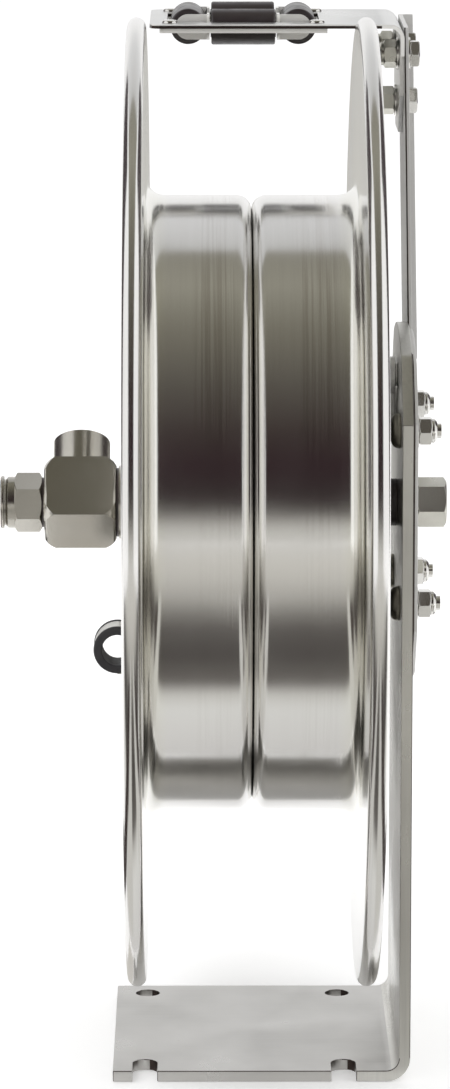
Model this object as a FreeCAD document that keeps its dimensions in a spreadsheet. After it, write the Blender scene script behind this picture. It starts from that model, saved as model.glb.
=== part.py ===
import FreeCAD, Part
import os
import re
import Sketcher

# Spring-rewind hose reel in stainless steel on an L-shaped stand.
# Row frame in millimetres: the origin is on the underside of the foot, below the middle of the drum.
# X runs along the axle towards the post, Y to the back, Z up.
# The drum is two spun halves set bottom to bottom. It turns on a short axle fixed in the post.
# A flat spiral spring winds it back and a ratchet with a hanging pawl holds it.
# Water enters through a swivel block at the free end. Four guide rollers stand over the drum.

doc = FreeCAD.newDocument("FireHoseReel")
sheet = doc.addObject("Spreadsheet::Sheet", "Sizes")

# Driving dimensions, in millimetres, degrees and counts
SIZES = {
    # Drum
    "disc_radius": 210.0,
    "rim_bead": 8.0,
    "channel_half_width": 45.5,
    "drum_radius": 133.5,
    "spun_wall": 1.5,
    "seam_corner": 6.5,
    "web_fillet": 8.0,
    "hose_slot_length": 46.0,
    "hose_slot_width": 26.0,
    # Stand
    "axle_height": 241.0,
    "plate_wall": 4.8,
    "stand_depth": 140.0,
    "post_face": 63.2,
    "base_reach": 60.0,
    "bend_radius": 5.5,
    "post_top": 78.0,
    "post_shoulder": 45.0,
    "post_corner": 24.5,
    "base_hole": 10.7,
    "base_hole_inset": 13.8,
    "base_hole_spacing": 85.7,
    "base_row_spacing": 114.3,
    # Guide arm
    "arm_wall": 2.0,
    "arm_top": 75.0,
    "arm_shoulder": 44.5,
    "arm_corner": 22.0,
    "arm_half_depth": 65.0,
    "arm_top_drop": 2.0,
    "arm_top_near": 74.0,
    "arm_neck_near": 8.0,
    "arm_flange": 4.6,
    "lip_start": 8.5,
    "lip_clearance": 1.3,
    "arm_bolt_square": 75.0,
    # Quarter inch fasteners
    "bolt_size": 6.35,
    "bolt_flats": 11.1,
    "bolt_head_height": 4.2,
    "nut_height": 5.6,
    "nut_collar_height": 2.2,
    "edge_turn": 30.0,
    "washer_size": 14.3,
    "washer_wall": 1.2,
    "dome_size": 15.1,
    "dome_height": 4.0,
    "bolt_hole_gap": 0.15,
    "thread_tip": 1.8,
    # Axle
    "axle_size": 16.0,
    "stud_size": 12.7,
    "stud_flats": 10.8,
    "axle_inner_end": 12.0,
    "axle_nut_flats": 19.0,
    "axle_nut_height": 13.1,
    "axle_nut_turn": -17.0,
    "axle_washer_size": 27.0,
    "axle_washer_wall": 1.7,
    "spacer_size": 20.5,
    "running_gap": 0.05,
    "clip_wall": 1.2,
    "clip_size": 23.0,
    "clip_groove": 14.6,
    # Hub and bearings
    "hub_flange_radius": 40.0,
    "hub_flange_wall": 6.0,
    "hub_radius": 20.0,
    "hub_neck_radius": 16.0,
    "bearing_size": 22.0,
    "bearing_half_length": 9.0,
    "hub_right_end": 10.0,
    "chamber_bore": 7.0,
    "tie_bolt_size": 6.0,
    "tie_circle": 60.0,
    "tie_bolt_count": 6,
    "tie_flats": 10.0,
    "tie_head_height": 4.0,
    "tie_nut_height": 5.0,
    # Rewind spring and its case
    "case_radius": 72.0,
    "case_end": 40.0,
    "case_lip_radius": 82.0,
    "cover_wall": 2.0,
    "cover_screw_circle": 154.0,
    "cover_screw_count": 6,
    "cover_boss_radius": 24.0,
    "cover_boss_end": 50.0,
    "arbor_radius": 14.0,
    "arbor_start": 12.0,
    "arbor_end": 35.5,
    "arbor_pin_size": 5.0,
    "clip_start": 36.5,
    "strip_width": 22.0,
    "strip_wall": 1.0,
    "spring_turns": 12,
    "spring_seat_gap": 0.1,
    "spring_arbor_gap": 0.3,
    # Ratchet and pawl
    "ratchet_radius": 28.5,
    "ratchet_root": 24.5,
    "ratchet_wall": 4.0,
    "ratchet_teeth": 12,
    "tooth_face_angle": -3.5,
    "tooth_back_angle": 25.0,
    "ratchet_screw_circle": 35.0,
    "pawl_pivot_rise": 56.0,
    "pawl_reach": 30.0,
    "pawl_tab_height": 11.0,
    "pawl_tab_wall": 3.0,
    "pawl_wall": 2.2,
    "pawl_eye_radius": 8.0,
    "pawl_lever_width": 11.0,
    "pawl_tilt": 24.0,
    "pawl_pin_size": 6.0,
    "pawl_pin_head": 12.0,
    "pawl_shoulder": 1.0,
    # Swivel
    "block_inner_face": 58.5,
    "block_outer_face": 89.9,
    "block_side": 29.2,
    "block_end_round": 7.0,
    "port_place": 74.0,
    "port_size": 24.8,
    "port_reach": 29.4,
    "port_thread": 18.6,
    "port_depth": 15.0,
    "port_thread_length": 13.5,
    "port_relief": 20.0,
    "port_angle": 50.0,
    "stem_radius": 10.0,
    "stem_bore": 6.0,
    "stem_inner_end": 42.0,
    "swivel_hex_flats": 22.4,
    "swivel_hex_start": 90.7,
    "swivel_hex_end": 103.0,
    "collar_end": 106.4,
    "collar_radius": 11.2,
    "plug_end": 109.0,
    "plug_radius": 11.5,
    "seal_wire": 1.9,
    "seal_width": 2.4,
    "inner_seal_place": 63.8,
    "outer_seal_place": 84.5,
    "thrust_wall": 1.0,
    "thrust_radius": 15.0,
    "chamber_half_width": 5.0,
    "chamber_radius": 12.6,
    # Outlet elbow in the inlet half
    "outlet_place": 25.0,
    "outlet_drop": 42.0,
    "outlet_size": 24.8,
    "outlet_reach": 30.0,
    "outlet_thread": 18.6,
    "outlet_depth": 15.0,
    "elbow_neck_radius": 8.0,
    "elbow_bore": 5.5,
    # Hose clamp and its bracket
    "clamp_place": 58.4,
    "clamp_drop": 64.0,
    "clamp_hole": 13.5,
    "cushion_wall": 2.2,
    "cushion_width": 18.0,
    "band_wall": 1.1,
    "band_width": 13.0,
    "clamp_tab_length": 26.0,
    "bracket_wall": 3.0,
    "bracket_width": 26.0,
    "shelf_end": 50.0,
    "foot_length": 30.0,
    "clamp_screw_size": 5.0,
    "clamp_screw_flats": 8.0,
    "clamp_screw_head": 3.4,
    "clamp_nut_height": 4.0,
    # Roller bracket, cage and rollers
    "bracket_drop": 8.0,
    "bracket_sheet": 1.8,
    "bracket_left": 44.5,
    "bracket_near": 65.0,
    "bracket_far": 149.0,
    "bracket_bend": 4.6,
    "bracket_corner": 5.0,
    "tongue_length": 50.0,
    "tongue_half_width": 35.0,
    "tongue_taper": 18.0,
    "tongue_shoulder": 14.0,
    "tongue_tip_half_width": 17.0,
    "upper_bolt_drop": 14.5,
    "upper_bolt_spread": 44.0,
    "lower_bolt_drop": 37.4,
    "cage_middle": -3.0,
    "cage_wall": 2.0,
    "cage_half_length": 37.0,
    "cage_half_depth": 41.0,
    "roller_radius": 7.9,
    "roller_bore_gap": 0.05,
    "roller_pin_size": 4.0,
    "roller_drop": 2.7,
    "long_roller_half": 14.5,
    "long_roller_offset": 20.5,
    "side_roller_half": 20.1,
    "side_roller_offset": 24.5,
    "ear_wall": 1.2,
    "ear_half_height": 5.6,
    "ear_end_gap": 0.45,
    "cage_rivet_x": 32.5,
    "cage_rivet_y": 31.0,
    "rivet_size": 4.0,
    "rivet_head_size": 7.0,
    "rivet_head_height": 1.2,
    "rivet_tail_height": 0.6,
    # Small domed screws of the cover, the ratchet and the clamp bracket
    "screw_size": 4.0,
    "screw_head_size": 7.6,
    "screw_head_height": 2.0,
    "screw_nut_flats": 7.0,
    "screw_nut_height": 3.2,
    "screw_tip": 1.0,
}

# Sizes that follow from the driving ones
DERIVED = {
    "post_back": "post_face + plate_wall",
    "arm_back": "post_back + arm_wall",
    "half_depth": "stand_depth / 2",
    "middle_y": "(bracket_near + bracket_far) / 2",
    "bolt_radius": "bolt_size / 2",
    "bolt_hole_radius": "bolt_radius + bolt_hole_gap",
    "bracket_rise": "disc_radius - bracket_drop",
    "bracket_bolt_rise": "bracket_rise - upper_bolt_drop",
    "arm_rise": "bracket_rise - arm_top_drop",
    "arm_lift": "arm_shoulder",
    "lip_wall": "arm_wall * 1.12",
    "lip_inner_y": "middle_y + upper_bolt_spread / 2 + washer_size / 2 + lip_clearance",
    "lip_slope": "(lip_inner_y + lip_wall - arm_half_depth) / (bracket_bolt_rise - arm_lift)",
    "arm_top_far": "arm_half_depth + lip_slope * (arm_rise - arm_lift)",
    "rim_radius": "disc_radius - rim_bead / 2",
    "web_back": "channel_half_width + spun_wall",
    "rim_middle": "channel_half_width + rim_bead / 2",
    "case_wall_inner": "case_radius - spun_wall",
    "axle_radius": "axle_size / 2",
    "axle_fit": "axle_radius + running_gap",
    "bearing_radius": "bearing_size / 2",
    "cover_face": "case_end + cover_wall",
    "ratchet_end": "cover_boss_end + ratchet_wall",
    "pawl_back": "post_face - pawl_shoulder",
    "pawl_front": "pawl_back - pawl_wall",
    "hub_left_end": "block_inner_face - thrust_wall",
    "shelf_top": "clamp_drop + clamp_hole / 2 + cushion_wall + 2 * band_wall",
    "roller_rise": "bracket_rise - roller_drop",
    "bracket_under": "bracket_rise - bracket_sheet",
    "cage_under": "bracket_under - cage_wall",
    "long_ear_face": "long_roller_half + ear_end_gap",
    "long_ear_back": "long_ear_face + ear_wall",
    "side_ear_face": "side_roller_half + ear_end_gap",
    "side_ear_back": "side_ear_face + ear_wall",
    "window_depth": "long_roller_offset + roller_radius + 0.8",
    "window_length": "side_roller_offset + roller_radius + 0.8",
    "spring_room": "case_wall_inner - spring_seat_gap - arbor_radius - spring_arbor_gap - strip_wall",
    "spring_pitch": "spring_room / spring_turns",
    "spring_inner_radius": "arbor_radius + spring_arbor_gap + spring_pitch / 4",
    "spring_start": "(arbor_start + arbor_end - strip_width) / 2",
}

row = 0
for alias, size in SIZES.items():
    row += 1
    sheet.set(f"A{row}", alias)
    sheet.set(f"B{row}", str(size))
    sheet.setAlias(f"B{row}", alias)
for alias, rule in DERIVED.items():
    row += 1
    sheet.set(f"A{row}", alias)
    sheet.set(f"B{row}", "=" + rule)
    sheet.setAlias(f"B{row}", alias)
doc.recompute()

ALIASES = set(SIZES) | set(DERIVED)
workings = doc.addObject("Spreadsheet::Sheet", "Workings")
known_values = {}
AXLE = ("0", "0", "axle_height")

# Turns that bring a piece's own axis to a row axis
FROM_X = {
    "x": FreeCAD.Rotation(),
    "-x": FreeCAD.Rotation(FreeCAD.Vector(0, 0, 1), 180),
    "y": FreeCAD.Rotation(FreeCAD.Vector(0, 0, 1), 90),
    "z": FreeCAD.Rotation(FreeCAD.Vector(0, 1, 0), -90),
    "-z": FreeCAD.Rotation(FreeCAD.Vector(0, 1, 0), 90),
}
FROM_Z = {
    "x": FreeCAD.Rotation(FreeCAD.Vector(0, 1, 0), 90),
    "y": FreeCAD.Rotation(FreeCAD.Vector(1, 0, 0), -90),
    "z": FreeCAD.Rotation(),
}

nodes = []


# Helpers for sizes


def formula(text):
    """The text with every size name pointed at the sheet."""
    return re.sub(r"[a-z_]+", lambda m: "Sizes." + m[0] if m[0] in ALIASES else m[0], str(text))


def value(text):
    """The number that a text of size names comes to."""
    text = str(text)
    if text not in known_values:
        workings.set("A1", "=" + formula(text))
        workings.recompute()
        known_values[text] = float(workings.get("A1"))
    return known_values[text]


def bind(thing, prop, text):
    thing.setExpression(prop, formula(text))


def place(thing, spot, turn):
    thing.Placement = FreeCAD.Placement(FreeCAD.Vector(), turn)
    for side, text in zip("xyz", spot):
        if text != "0":
            bind(thing, f"Placement.Base.{side}", text)


def node(thing, label):
    """Keep the object as one sub-part under its label."""
    thing.Label = label
    nodes.append(thing)
    return thing


# Helpers for solids


def block(low, high):
    thing = doc.addObject("Part::Box", "block")
    for prop, start, end in zip(("Length", "Width", "Height"), low, high):
        bind(thing, prop, f"({end}) - ({start})")
    place(thing, low, FreeCAD.Rotation())
    return thing


def rod(radius, length, spot, axis):
    thing = doc.addObject("Part::Cylinder", "rod")
    bind(thing, "Radius", radius)
    bind(thing, "Height", length)
    place(thing, spot, FROM_Z[axis])
    return thing


def ball(radius, spot):
    thing = doc.addObject("Part::Sphere", "ball")
    bind(thing, "Radius", radius)
    place(thing, spot, FreeCAD.Rotation())
    return thing


def cut(base, *tools):
    thing = doc.addObject("Part::Cut", "cut")
    thing.Base = base
    thing.Tool = tools[0] if len(tools) == 1 else group(tools)
    return thing


def fuse(*pieces):
    thing = doc.addObject("Part::MultiFuse", "fuse")
    thing.Shapes = list(pieces)
    thing.Refine = True
    return thing


def common(*pieces):
    thing = doc.addObject("Part::MultiCommon", "common")
    thing.Shapes = list(pieces)
    return thing


def group(pieces):
    thing = doc.addObject("Part::Compound", "group")
    thing.Links = list(pieces)
    return thing


def copies(pattern, spots):
    """One linked copy of the pattern at each spot, as a group of separate solids."""
    made = []
    for spot in spots:
        link = doc.addObject("App::Link", "copy")
        link.LinkedObject = pattern
        link.LinkTransform = True
        place(link, spot, FreeCAD.Rotation())
        made.append(link)
    return group(made)


def sketch_on(body, role):
    plane = next(f for f in body.Origin.OriginFeatures if f.Role == role)
    sketch = body.newObject("Sketcher::SketchObject", "outline")
    sketch.AttachmentSupport = [(plane, "")]
    sketch.MapMode = "FlatFace"
    return sketch


def pin_point(sketch, edge, end, spot):
    for kind, text in zip(("DistanceX", "DistanceY"), spot):
        index = sketch.addConstraint(Sketcher.Constraint(kind, edge, end, value(text)))
        bind(sketch, f"Constraints[{index}]", text)


def polygon(sketch, points):
    """A closed outline through the points, each held by its two sizes."""
    spots = [FreeCAD.Vector(value(u), value(v), 0) for u, v in points]
    first = sketch.GeometryCount
    count = len(spots)
    for i in range(count):
        sketch.addGeometry(Part.LineSegment(spots[i], spots[(i + 1) % count]), False)
    for i in range(count):
        following = first + (i + 1) % count
        sketch.addConstraint(Sketcher.Constraint("Coincident", first + i, 2, following, 1))
    for i, spot in enumerate(points):
        pin_point(sketch, first + i, 1, spot)


def circle(sketch, middle, radius):
    centre = FreeCAD.Vector(value(middle[0]), value(middle[1]), 0)
    edge = sketch.addGeometry(Part.Circle(centre, FreeCAD.Vector(0, 0, 1), value(radius)), False)
    pin_point(sketch, edge, 3, middle)
    index = sketch.addConstraint(Sketcher.Constraint("Radius", edge, value(radius)))
    bind(sketch, f"Constraints[{index}]", radius)


def spin(body, sketch):
    feature = body.newObject("PartDesign::Revolution", "turned")
    feature.Profile = sketch
    feature.ReferenceAxis = (sketch, ["H_Axis"])
    feature.Angle = 360


def turned(points, spot=AXLE, axis="x"):
    """A turned piece: points give the distance along its axis and the radius."""
    body = doc.addObject("PartDesign::Body", "turned_body")
    sketch = sketch_on(body, "XY_Plane")
    polygon(sketch, points)
    spin(body, sketch)
    place(body, spot, FROM_X[axis])
    return body


def ring(start, end, inner, outer, spot=AXLE, axis="x"):
    return turned([(start, inner), (end, inner), (end, outer), (start, outer)], spot, axis)


def padded(role, points, length, spot, symmetric=False):
    """A flat piece: the outline on one of its own planes, made thick."""
    body = doc.addObject("PartDesign::Body", "padded_body")
    sketch = sketch_on(body, role)
    polygon(sketch, points)
    pad = body.newObject("PartDesign::Pad", "pad")
    pad.Profile = sketch
    bind(pad, "Length", length)
    if symmetric:
        pad.SideType = "Symmetric"
    place(body, spot, FreeCAD.Rotation())
    return body


def pocket(body, role, points):
    """A hole of the outline right through the body, both ways."""
    sketch = sketch_on(body, role)
    polygon(sketch, points)
    feature = body.newObject("PartDesign::Pocket", "pocket")
    feature.Profile = sketch
    feature.SideType = "Symmetric"
    feature.Type = "ThroughAll"
    return feature


def round_edges(body, radius, wanted):
    doc.recompute()
    tip = body.Tip
    names = [f"Edge{i + 1}" for i, edge in enumerate(tip.Shape.Edges) if wanted(edge)]
    fillet = body.newObject("PartDesign::Fillet", "rounded")
    fillet.Base = (tip, names)
    bind(fillet, "Radius", radius)


def is_ring(x_text, radius_text):
    x = value(x_text)
    radius = value(radius_text)

    def wanted(edge):
        curve = edge.Curve
        if not isinstance(curve, Part.Circle):
            return False
        return abs(curve.Radius - radius) < 0.01 and abs(curve.Center.x - x) < 0.01

    return wanted


def is_line_at(**places):
    """True for a straight edge whose ends both lie at the given coordinates."""
    wanted_places = {side: value(text) for side, text in places.items()}

    def wanted(edge):
        if not isinstance(edge.Curve, (Part.Line, Part.LineSegment)):
            return False
        ends = [vertex.Point for vertex in edge.Vertexes]
        offsets = [getattr(end, side) - at for end in ends for side, at in wanted_places.items()]
        return all(abs(offset) < 0.01 for offset in offsets)

    return wanted


def hexagon(flats, start, end, bore, spot=AXLE, axis="x", turn="0"):
    """A six-sided piece with turned chamfers, between two places along its axis."""
    corner = f"({flats}) / sqrt(3)"
    bevel = f"({flats}) * 0.06"
    face = f"({flats}) * 0.48"
    outline = [
        (start, bore),
        (start, face),
        (f"({start}) + {bevel}", corner),
        (f"({end}) - {bevel}", corner),
        (end, face),
        (end, bore),
    ]
    envelope = turned(outline, spot, axis)
    prism = doc.addObject("Part::Prism", "prism")
    prism.Polygon = 6
    bind(prism, "Circumradius", corner)
    bind(prism, "Height", f"({end}) - ({start})")
    sides = {"x": (1, 0, 0), "-x": (-1, 0, 0), "y": (0, 1, 0), "z": (0, 0, 1), "-z": (0, 0, -1)}[axis]
    low = end if axis.startswith("-") else start
    moved = []
    for text, share in zip(spot, sides):
        if share:
            moved.append(f"{text} + ({share}) * ({low})")
        else:
            moved.append(text)
    spin = FreeCAD.Rotation(FreeCAD.Vector(0, 0, 1), value(turn))
    place(prism, moved, FROM_Z[axis.lstrip("-")].multiply(spin))
    return common(prism, envelope)


def raised(rise, y="0", x="0"):
    """A spot at a height above the axle's line."""
    return (x, y, f"axle_height + ({rise})")


ORIGIN = ("0", "0", "0")


# Fastener patterns, each lying along +X with its seat at x = 0


def hex_nut(flats, height, collar, hole, turn="0"):
    body = hexagon(flats, "0", height, hole, ORIGIN, turn=turn)
    dome = turned(
        [
            (f"({height}) - 0.2", hole),
            (f"({height}) + ({collar})", hole),
            (f"({height}) + ({collar})", f"({flats}) * 0.36"),
            (f"({height}) + ({collar}) * 0.5", f"({flats}) * 0.46"),
            (f"({height}) - 0.2", f"({flats}) * 0.46"),
        ],
        ORIGIN,
    )
    return fuse(body, dome)


def hex_bolt(flats, head, radius, length, turn="0"):
    """The head lies on the -X side of the seat and the shank runs to +X."""
    top = hexagon(flats, f"-({head})", "0", "0", ORIGIN, turn=turn)
    shank = turned(shank_outline(radius, length), ORIGIN)
    return fuse(top, shank)


def shank_outline(radius, length):
    bevel = f"({radius}) * 0.25"
    return [
        ("-0.5", "0"),
        ("-0.5", radius),
        (f"({length}) - {bevel}", radius),
        (length, f"({radius}) - {bevel}"),
        (length, "0"),
    ]


def domed_bolt(head_radius, head, radius, length):
    outline = [
        (f"-({head})", "0"),
        (f"-({head})", head_radius),
        ("0", head_radius),
        ("0", radius),
        (length, radius),
        (length, "0"),
    ]
    body = turned(outline, ORIGIN)
    round_edges(body, f"({head}) * 0.9", is_ring(f"-({head})", head_radius))
    return body


def small_screw(grip):
    """A small domed screw through the grip and one nut."""
    length = f"{grip} + screw_nut_height + screw_tip"
    return domed_bolt("screw_head_size / 2", "screw_head_height", "screw_size / 2", length)


def small_nut():
    return hexagon("screw_nut_flats", "0", "screw_nut_height", "screw_size / 2", ORIGIN)


def washer(wall, outer, inner):
    return ring("0", wall, inner, outer, ORIGIN)


def ring_spots(circle_size, count, x="0", phase="0"):
    """Spots evenly round a circle about the axle."""
    spots = []
    for i in range(int(value(count))):
        angle = f"(({phase}) + 360 / ({count}) * {i}) * 1 deg"
        y = f"({circle_size}) / 2 * sin({angle})"
        spots.append(raised(f"({circle_size}) / 2 * cos({angle})", y, x))
    return spots


def ring_rods(radius, start, end, circle_size, count, phase="0"):
    spots = ring_spots(circle_size, count, start, phase)
    return [rod(radius, f"({end}) - ({start})", spot, "x") for spot in spots]


# Stand


def square_spots(x):
    reach = "arm_bolt_square / 2"
    signs = [("-", "-"), ("-", ""), ("", "-"), ("", "")]
    return [raised(f"{up}{reach}", f"{side}{reach}", x) for side, up in signs]


def crowned(half, shoulder, corner, top, start, thick, up=""):
    """A plate across x from the axle's height up, or down with up "-": cut corners and a shallow curved end."""
    side = f"({half} - {corner})"
    ledge = f"({shoulder} + {corner})"
    outline = [
        (f"-{half}", "0"),
        (f"-{half}", f"{up}{shoulder}"),
        (f"-{side}", f"{up}{ledge}"),
        (side, f"{up}{ledge}"),
        (half, f"{up}{shoulder}"),
        (half, "0"),
    ]
    lower = padded("YZ_Plane", outline, thick, (start, "0", "axle_height"))
    rise = f"({top} - {ledge})"
    radius = f"(({side} * {side} + {rise} * {rise}) / (2 * {rise}))"
    disc = rod(radius, thick, raised(f"{up}({top} - {radius})", "0", start), "x")
    low, high = (f"-({top} + 1)", "0") if up else ("0", f"{top} + 1")
    window = block(
        (f"{start} - 1", f"-{side}", f"axle_height + {low}"),
        (f"{start} + {thick} + 1", side, f"axle_height + {high}"),
    )
    return fuse(lower, common(disc, window))


def make_pedestal():
    outline = [
        ("-base_reach", "0"),
        ("post_back", "0"),
        ("post_back", "axle_height + post_top"),
        ("post_face", "axle_height + post_top"),
        ("post_face", "plate_wall"),
        ("-base_reach", "plate_wall"),
    ]
    sheet_metal = padded("XZ_Plane", outline, "stand_depth", ORIGIN, symmetric=True)
    round_edges(sheet_metal, "bend_radius", is_line_at(x="post_face", z="plate_wall"))
    round_edges(sheet_metal, "bend_radius + plate_wall", is_line_at(x="post_back", z="0"))
    above = block(
        ("post_face - 1", "-half_depth - 1", "axle_height"),
        ("post_back + 1", "half_depth + 1", "axle_height + post_top + 1"),
    )
    start = "post_face - 2"
    arch = crowned("half_depth", "post_shoulder", "post_corner", "post_top", start, "plate_wall + 4")
    spandrels = cut(above, arch)
    holes = [axle_hole("post_face - 1", "post_back + 1")]
    for x, y, z in square_spots("post_face - 1"):
        half = "(bolt_radius + bolt_hole_gap)"
        low = ("post_face - 1", f"{y} - {half}", f"{z} - {half}")
        high = ("post_back + 1", f"{y} + {half}", f"{z} + {half}")
        holes.append(block(low, high))
    pivot = raised("pawl_pivot_rise", "0", "post_face - 1")
    holes.append(rod("pawl_pin_size / 2", "plate_wall + 2", pivot, "x"))
    near = "-base_row_spacing / 2"
    for x in ("-base_reach + base_hole_inset", "-base_reach + base_hole_inset + base_hole_spacing"):
        holes.append(rod("base_hole / 2", "plate_wall + 2", (x, "base_row_spacing / 2", "-1"), "z"))
        holes.append(rod("base_hole / 2", "plate_wall + 2", (x, near, "-1"), "z"))
        low = (f"{x} - base_hole / 2", "-half_depth - 1", "-1")
        high = (f"{x} + base_hole / 2", near, "plate_wall + 1")
        holes.append(block(low, high))
    node(cut(sheet_metal, spandrels, *holes), "pedestal")


def axle_hole(start, end):
    """A round hole with two flats, to stop the axle from turning."""
    half = "(stud_flats / 2 + bolt_hole_gap)"
    spot = (start, "0", "axle_height")
    bore = rod("stud_size / 2 + bolt_hole_gap", f"({end}) - ({start})", spot, "x")
    low = (start, "-stud_size", f"axle_height - {half}")
    high = (end, "stud_size", f"axle_height + {half}")
    return common(bore, block(low, high))


def make_guide_arm():
    neck_root = "arm_shoulder + arm_corner"
    facing = ("arm_half_depth", "arm_shoulder", "arm_corner", "arm_top", "post_back", "arm_wall")
    plate = fuse(crowned(*facing), crowned(*facing, up="-"))
    neck_outline = [
        ("arm_neck_near", neck_root),
        ("arm_neck_near", "0"),
        ("arm_half_depth", "0"),
        ("arm_half_depth", "arm_lift"),
        ("arm_top_far", "arm_rise"),
        ("arm_top_near", "arm_rise"),
    ]
    neck = padded("YZ_Plane", neck_outline, "arm_wall", ("post_back", "0", "axle_height"))
    low_y = "arm_half_depth + lip_slope * lip_start"
    lip_outline = [
        (low_y, "arm_lift + lip_start"),
        ("arm_top_far", "arm_rise"),
        ("arm_top_far - lip_wall", "arm_rise"),
        (f"{low_y} - lip_wall", "arm_lift + lip_start"),
    ]
    lip = padded("YZ_Plane", lip_outline, "arm_wall + arm_flange", ("post_back", "0", "axle_height"))
    holes = [axle_hole("post_back - 1", "arm_back + 1")]
    for x, y, z in square_spots("post_back - 1"):
        holes.append(rod("bolt_hole_radius", "arm_wall + 2", (x, y, z), "x"))
    for y, z in bracket_bolt_places():
        holes.append(rod("bolt_hole_radius", "arm_wall + 2", ("post_back - 1", y, z), "x"))
    node(cut(fuse(plate, neck, lip), *holes), "guide_arm")


def make_arm_fasteners():
    length = "plate_wall + arm_wall + washer_wall + nut_height + nut_collar_height + thread_tip"
    bolt = domed_bolt("dome_size / 2", "dome_height", "bolt_radius", length)
    neck = block(
        ("-0.5", "-bolt_radius", "-bolt_radius"),
        ("plate_wall - 0.4", "bolt_radius", "bolt_radius"),
    )
    node(copies(fuse(bolt, neck), square_spots("post_face")), "arm_bolts")
    disc = washer("washer_wall", "washer_size / 2", "bolt_radius")
    node(copies(disc, square_spots("arm_back")), "arm_washers")
    nut = hex_nut("bolt_flats", "nut_height", "nut_collar_height", "bolt_radius", "edge_turn")
    node(copies(nut, square_spots("arm_back + washer_wall")), "arm_nuts")


def make_axle():
    seat = "arm_back + axle_washer_wall + axle_nut_height"
    shaft = turned(
        [
            ("-axle_inner_end", "0"),
            ("-axle_inner_end", "axle_radius - 1"),
            ("1 - axle_inner_end", "axle_radius"),
            ("clip_start", "axle_radius"),
            ("clip_start", "clip_groove / 2"),
            ("clip_start + clip_wall", "clip_groove / 2"),
            ("clip_start + clip_wall", "axle_radius"),
            ("post_face", "axle_radius"),
            ("post_face", "stud_size / 2"),
            (f"{seat} - 1.4", "stud_size / 2"),
            (f"{seat} - 0.6", "stud_size / 2 - 0.8"),
            (f"{seat} - 0.6", "0"),
        ]
    )
    sides = []
    for low, high in (("stud_flats / 2", "stud_size"), ("-stud_size", "-stud_flats / 2")):
        sides.append(
            block(
                ("post_face", "-stud_size", f"axle_height + {low}"),
                ("arm_back", "stud_size", f"axle_height + {high}"),
            )
        )
    low_end = raised("-arbor_radius", "0", ARBOR_MIDDLE)
    pin_hole = rod("arbor_pin_size / 2", "2 * arbor_radius", low_end, "z")
    node(cut(shaft, *sides, pin_hole), "axle")
    nut_seat = "arm_back + axle_washer_wall"
    node(ring("arm_back", nut_seat, "stud_size / 2", "axle_washer_size / 2"), "axle_washer")
    nut = hexagon("axle_nut_flats", nut_seat, seat, "stud_size / 2", turn="axle_nut_turn")
    node(nut, "axle_nut")
    clip = ring("clip_start", "clip_start + clip_wall", "clip_groove / 2", "clip_size / 2")
    node(clip, "axle_clip")
    node(ring("ratchet_end + 0.6", "post_face", "axle_radius", "spacer_size / 2"), "spacer_bush")


ARBOR_MIDDLE = "(arbor_start + arbor_end) / 2"


def make_arbor():
    sleeve = ring("arbor_start", "arbor_end", "axle_radius", "arbor_radius")
    low_end = raised("-arbor_radius", "0", ARBOR_MIDDLE)
    hole = rod("arbor_pin_size / 2", "2 * arbor_radius", low_end, "z")
    node(cut(sleeve, hole), "spring_arbor")
    low_end = raised("0.5 - arbor_radius", "0", ARBOR_MIDDLE)
    node(rod("arbor_pin_size / 2", "2 * arbor_radius - 1", low_end, "z"), "arbor_pin")


def make_pawl_pin():
    pin = turned(
        [
            ("pawl_front - 3", "0"),
            ("pawl_front - 3", "pawl_pin_head / 2 - 1.6"),
            ("pawl_front - 1.4", "pawl_pin_head / 2"),
            ("pawl_front - 0.1", "pawl_pin_head / 2"),
            ("pawl_front - 0.1", "pawl_pin_size / 2"),
            ("pawl_back + 0.1", "pawl_pin_size / 2"),
            ("pawl_back + 0.1", "pawl_pin_size / 2 + 2"),
            ("post_face", "pawl_pin_size / 2 + 2"),
            ("post_face", "pawl_pin_size / 2"),
            ("post_back", "pawl_pin_size / 2"),
            ("post_back", "0"),
        ],
        raised("pawl_pivot_rise"),
    )
    node(pin, "pawl_pin")


def make_pawl():
    """The lever hangs from its pivot, leaning back by the tilt, clear of the teeth."""
    eye = rod("pawl_eye_radius", "pawl_wall", ("pawl_front", "0", "0"), "x")
    half = "pawl_lever_width / 2"
    lever = block(("pawl_front", f"-{half}", "-pawl_reach"), ("pawl_back", half, "0"))
    tab = block(
        ("cover_boss_end + 0.6", "-pawl_tab_wall / 2", "-pawl_reach"),
        ("pawl_back", "pawl_tab_wall / 2", "pawl_tab_height - pawl_reach"),
    )
    hole = rod("pawl_pin_size / 2 + running_gap", "pawl_wall + 2", ("pawl_front - 1", "0", "0"), "x")
    pawl = cut(fuse(eye, lever, tab), hole)
    tilt = FreeCAD.Rotation(FreeCAD.Vector(1, 0, 0), value("pawl_tilt"))
    place(pawl, raised("pawl_pivot_rise"), tilt)
    bind(pawl, "Placement.Rotation.Angle", "pawl_tilt")
    node(pawl, "pawl")


# Roller bracket, cage and rollers


def bracket_bolt_places():
    return [
        ("middle_y - upper_bolt_spread / 2", "axle_height + bracket_rise - upper_bolt_drop"),
        ("middle_y + upper_bolt_spread / 2", "axle_height + bracket_rise - upper_bolt_drop"),
        ("middle_y", "axle_height + bracket_rise - lower_bolt_drop"),
    ]


def cage_spots(z):
    spots = []
    for x in ("cage_middle - cage_rivet_x", "cage_middle + cage_rivet_x"):
        for y in ("middle_y - cage_rivet_y", "middle_y + cage_rivet_y"):
            spots.append((x, y, z))
    return spots


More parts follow.
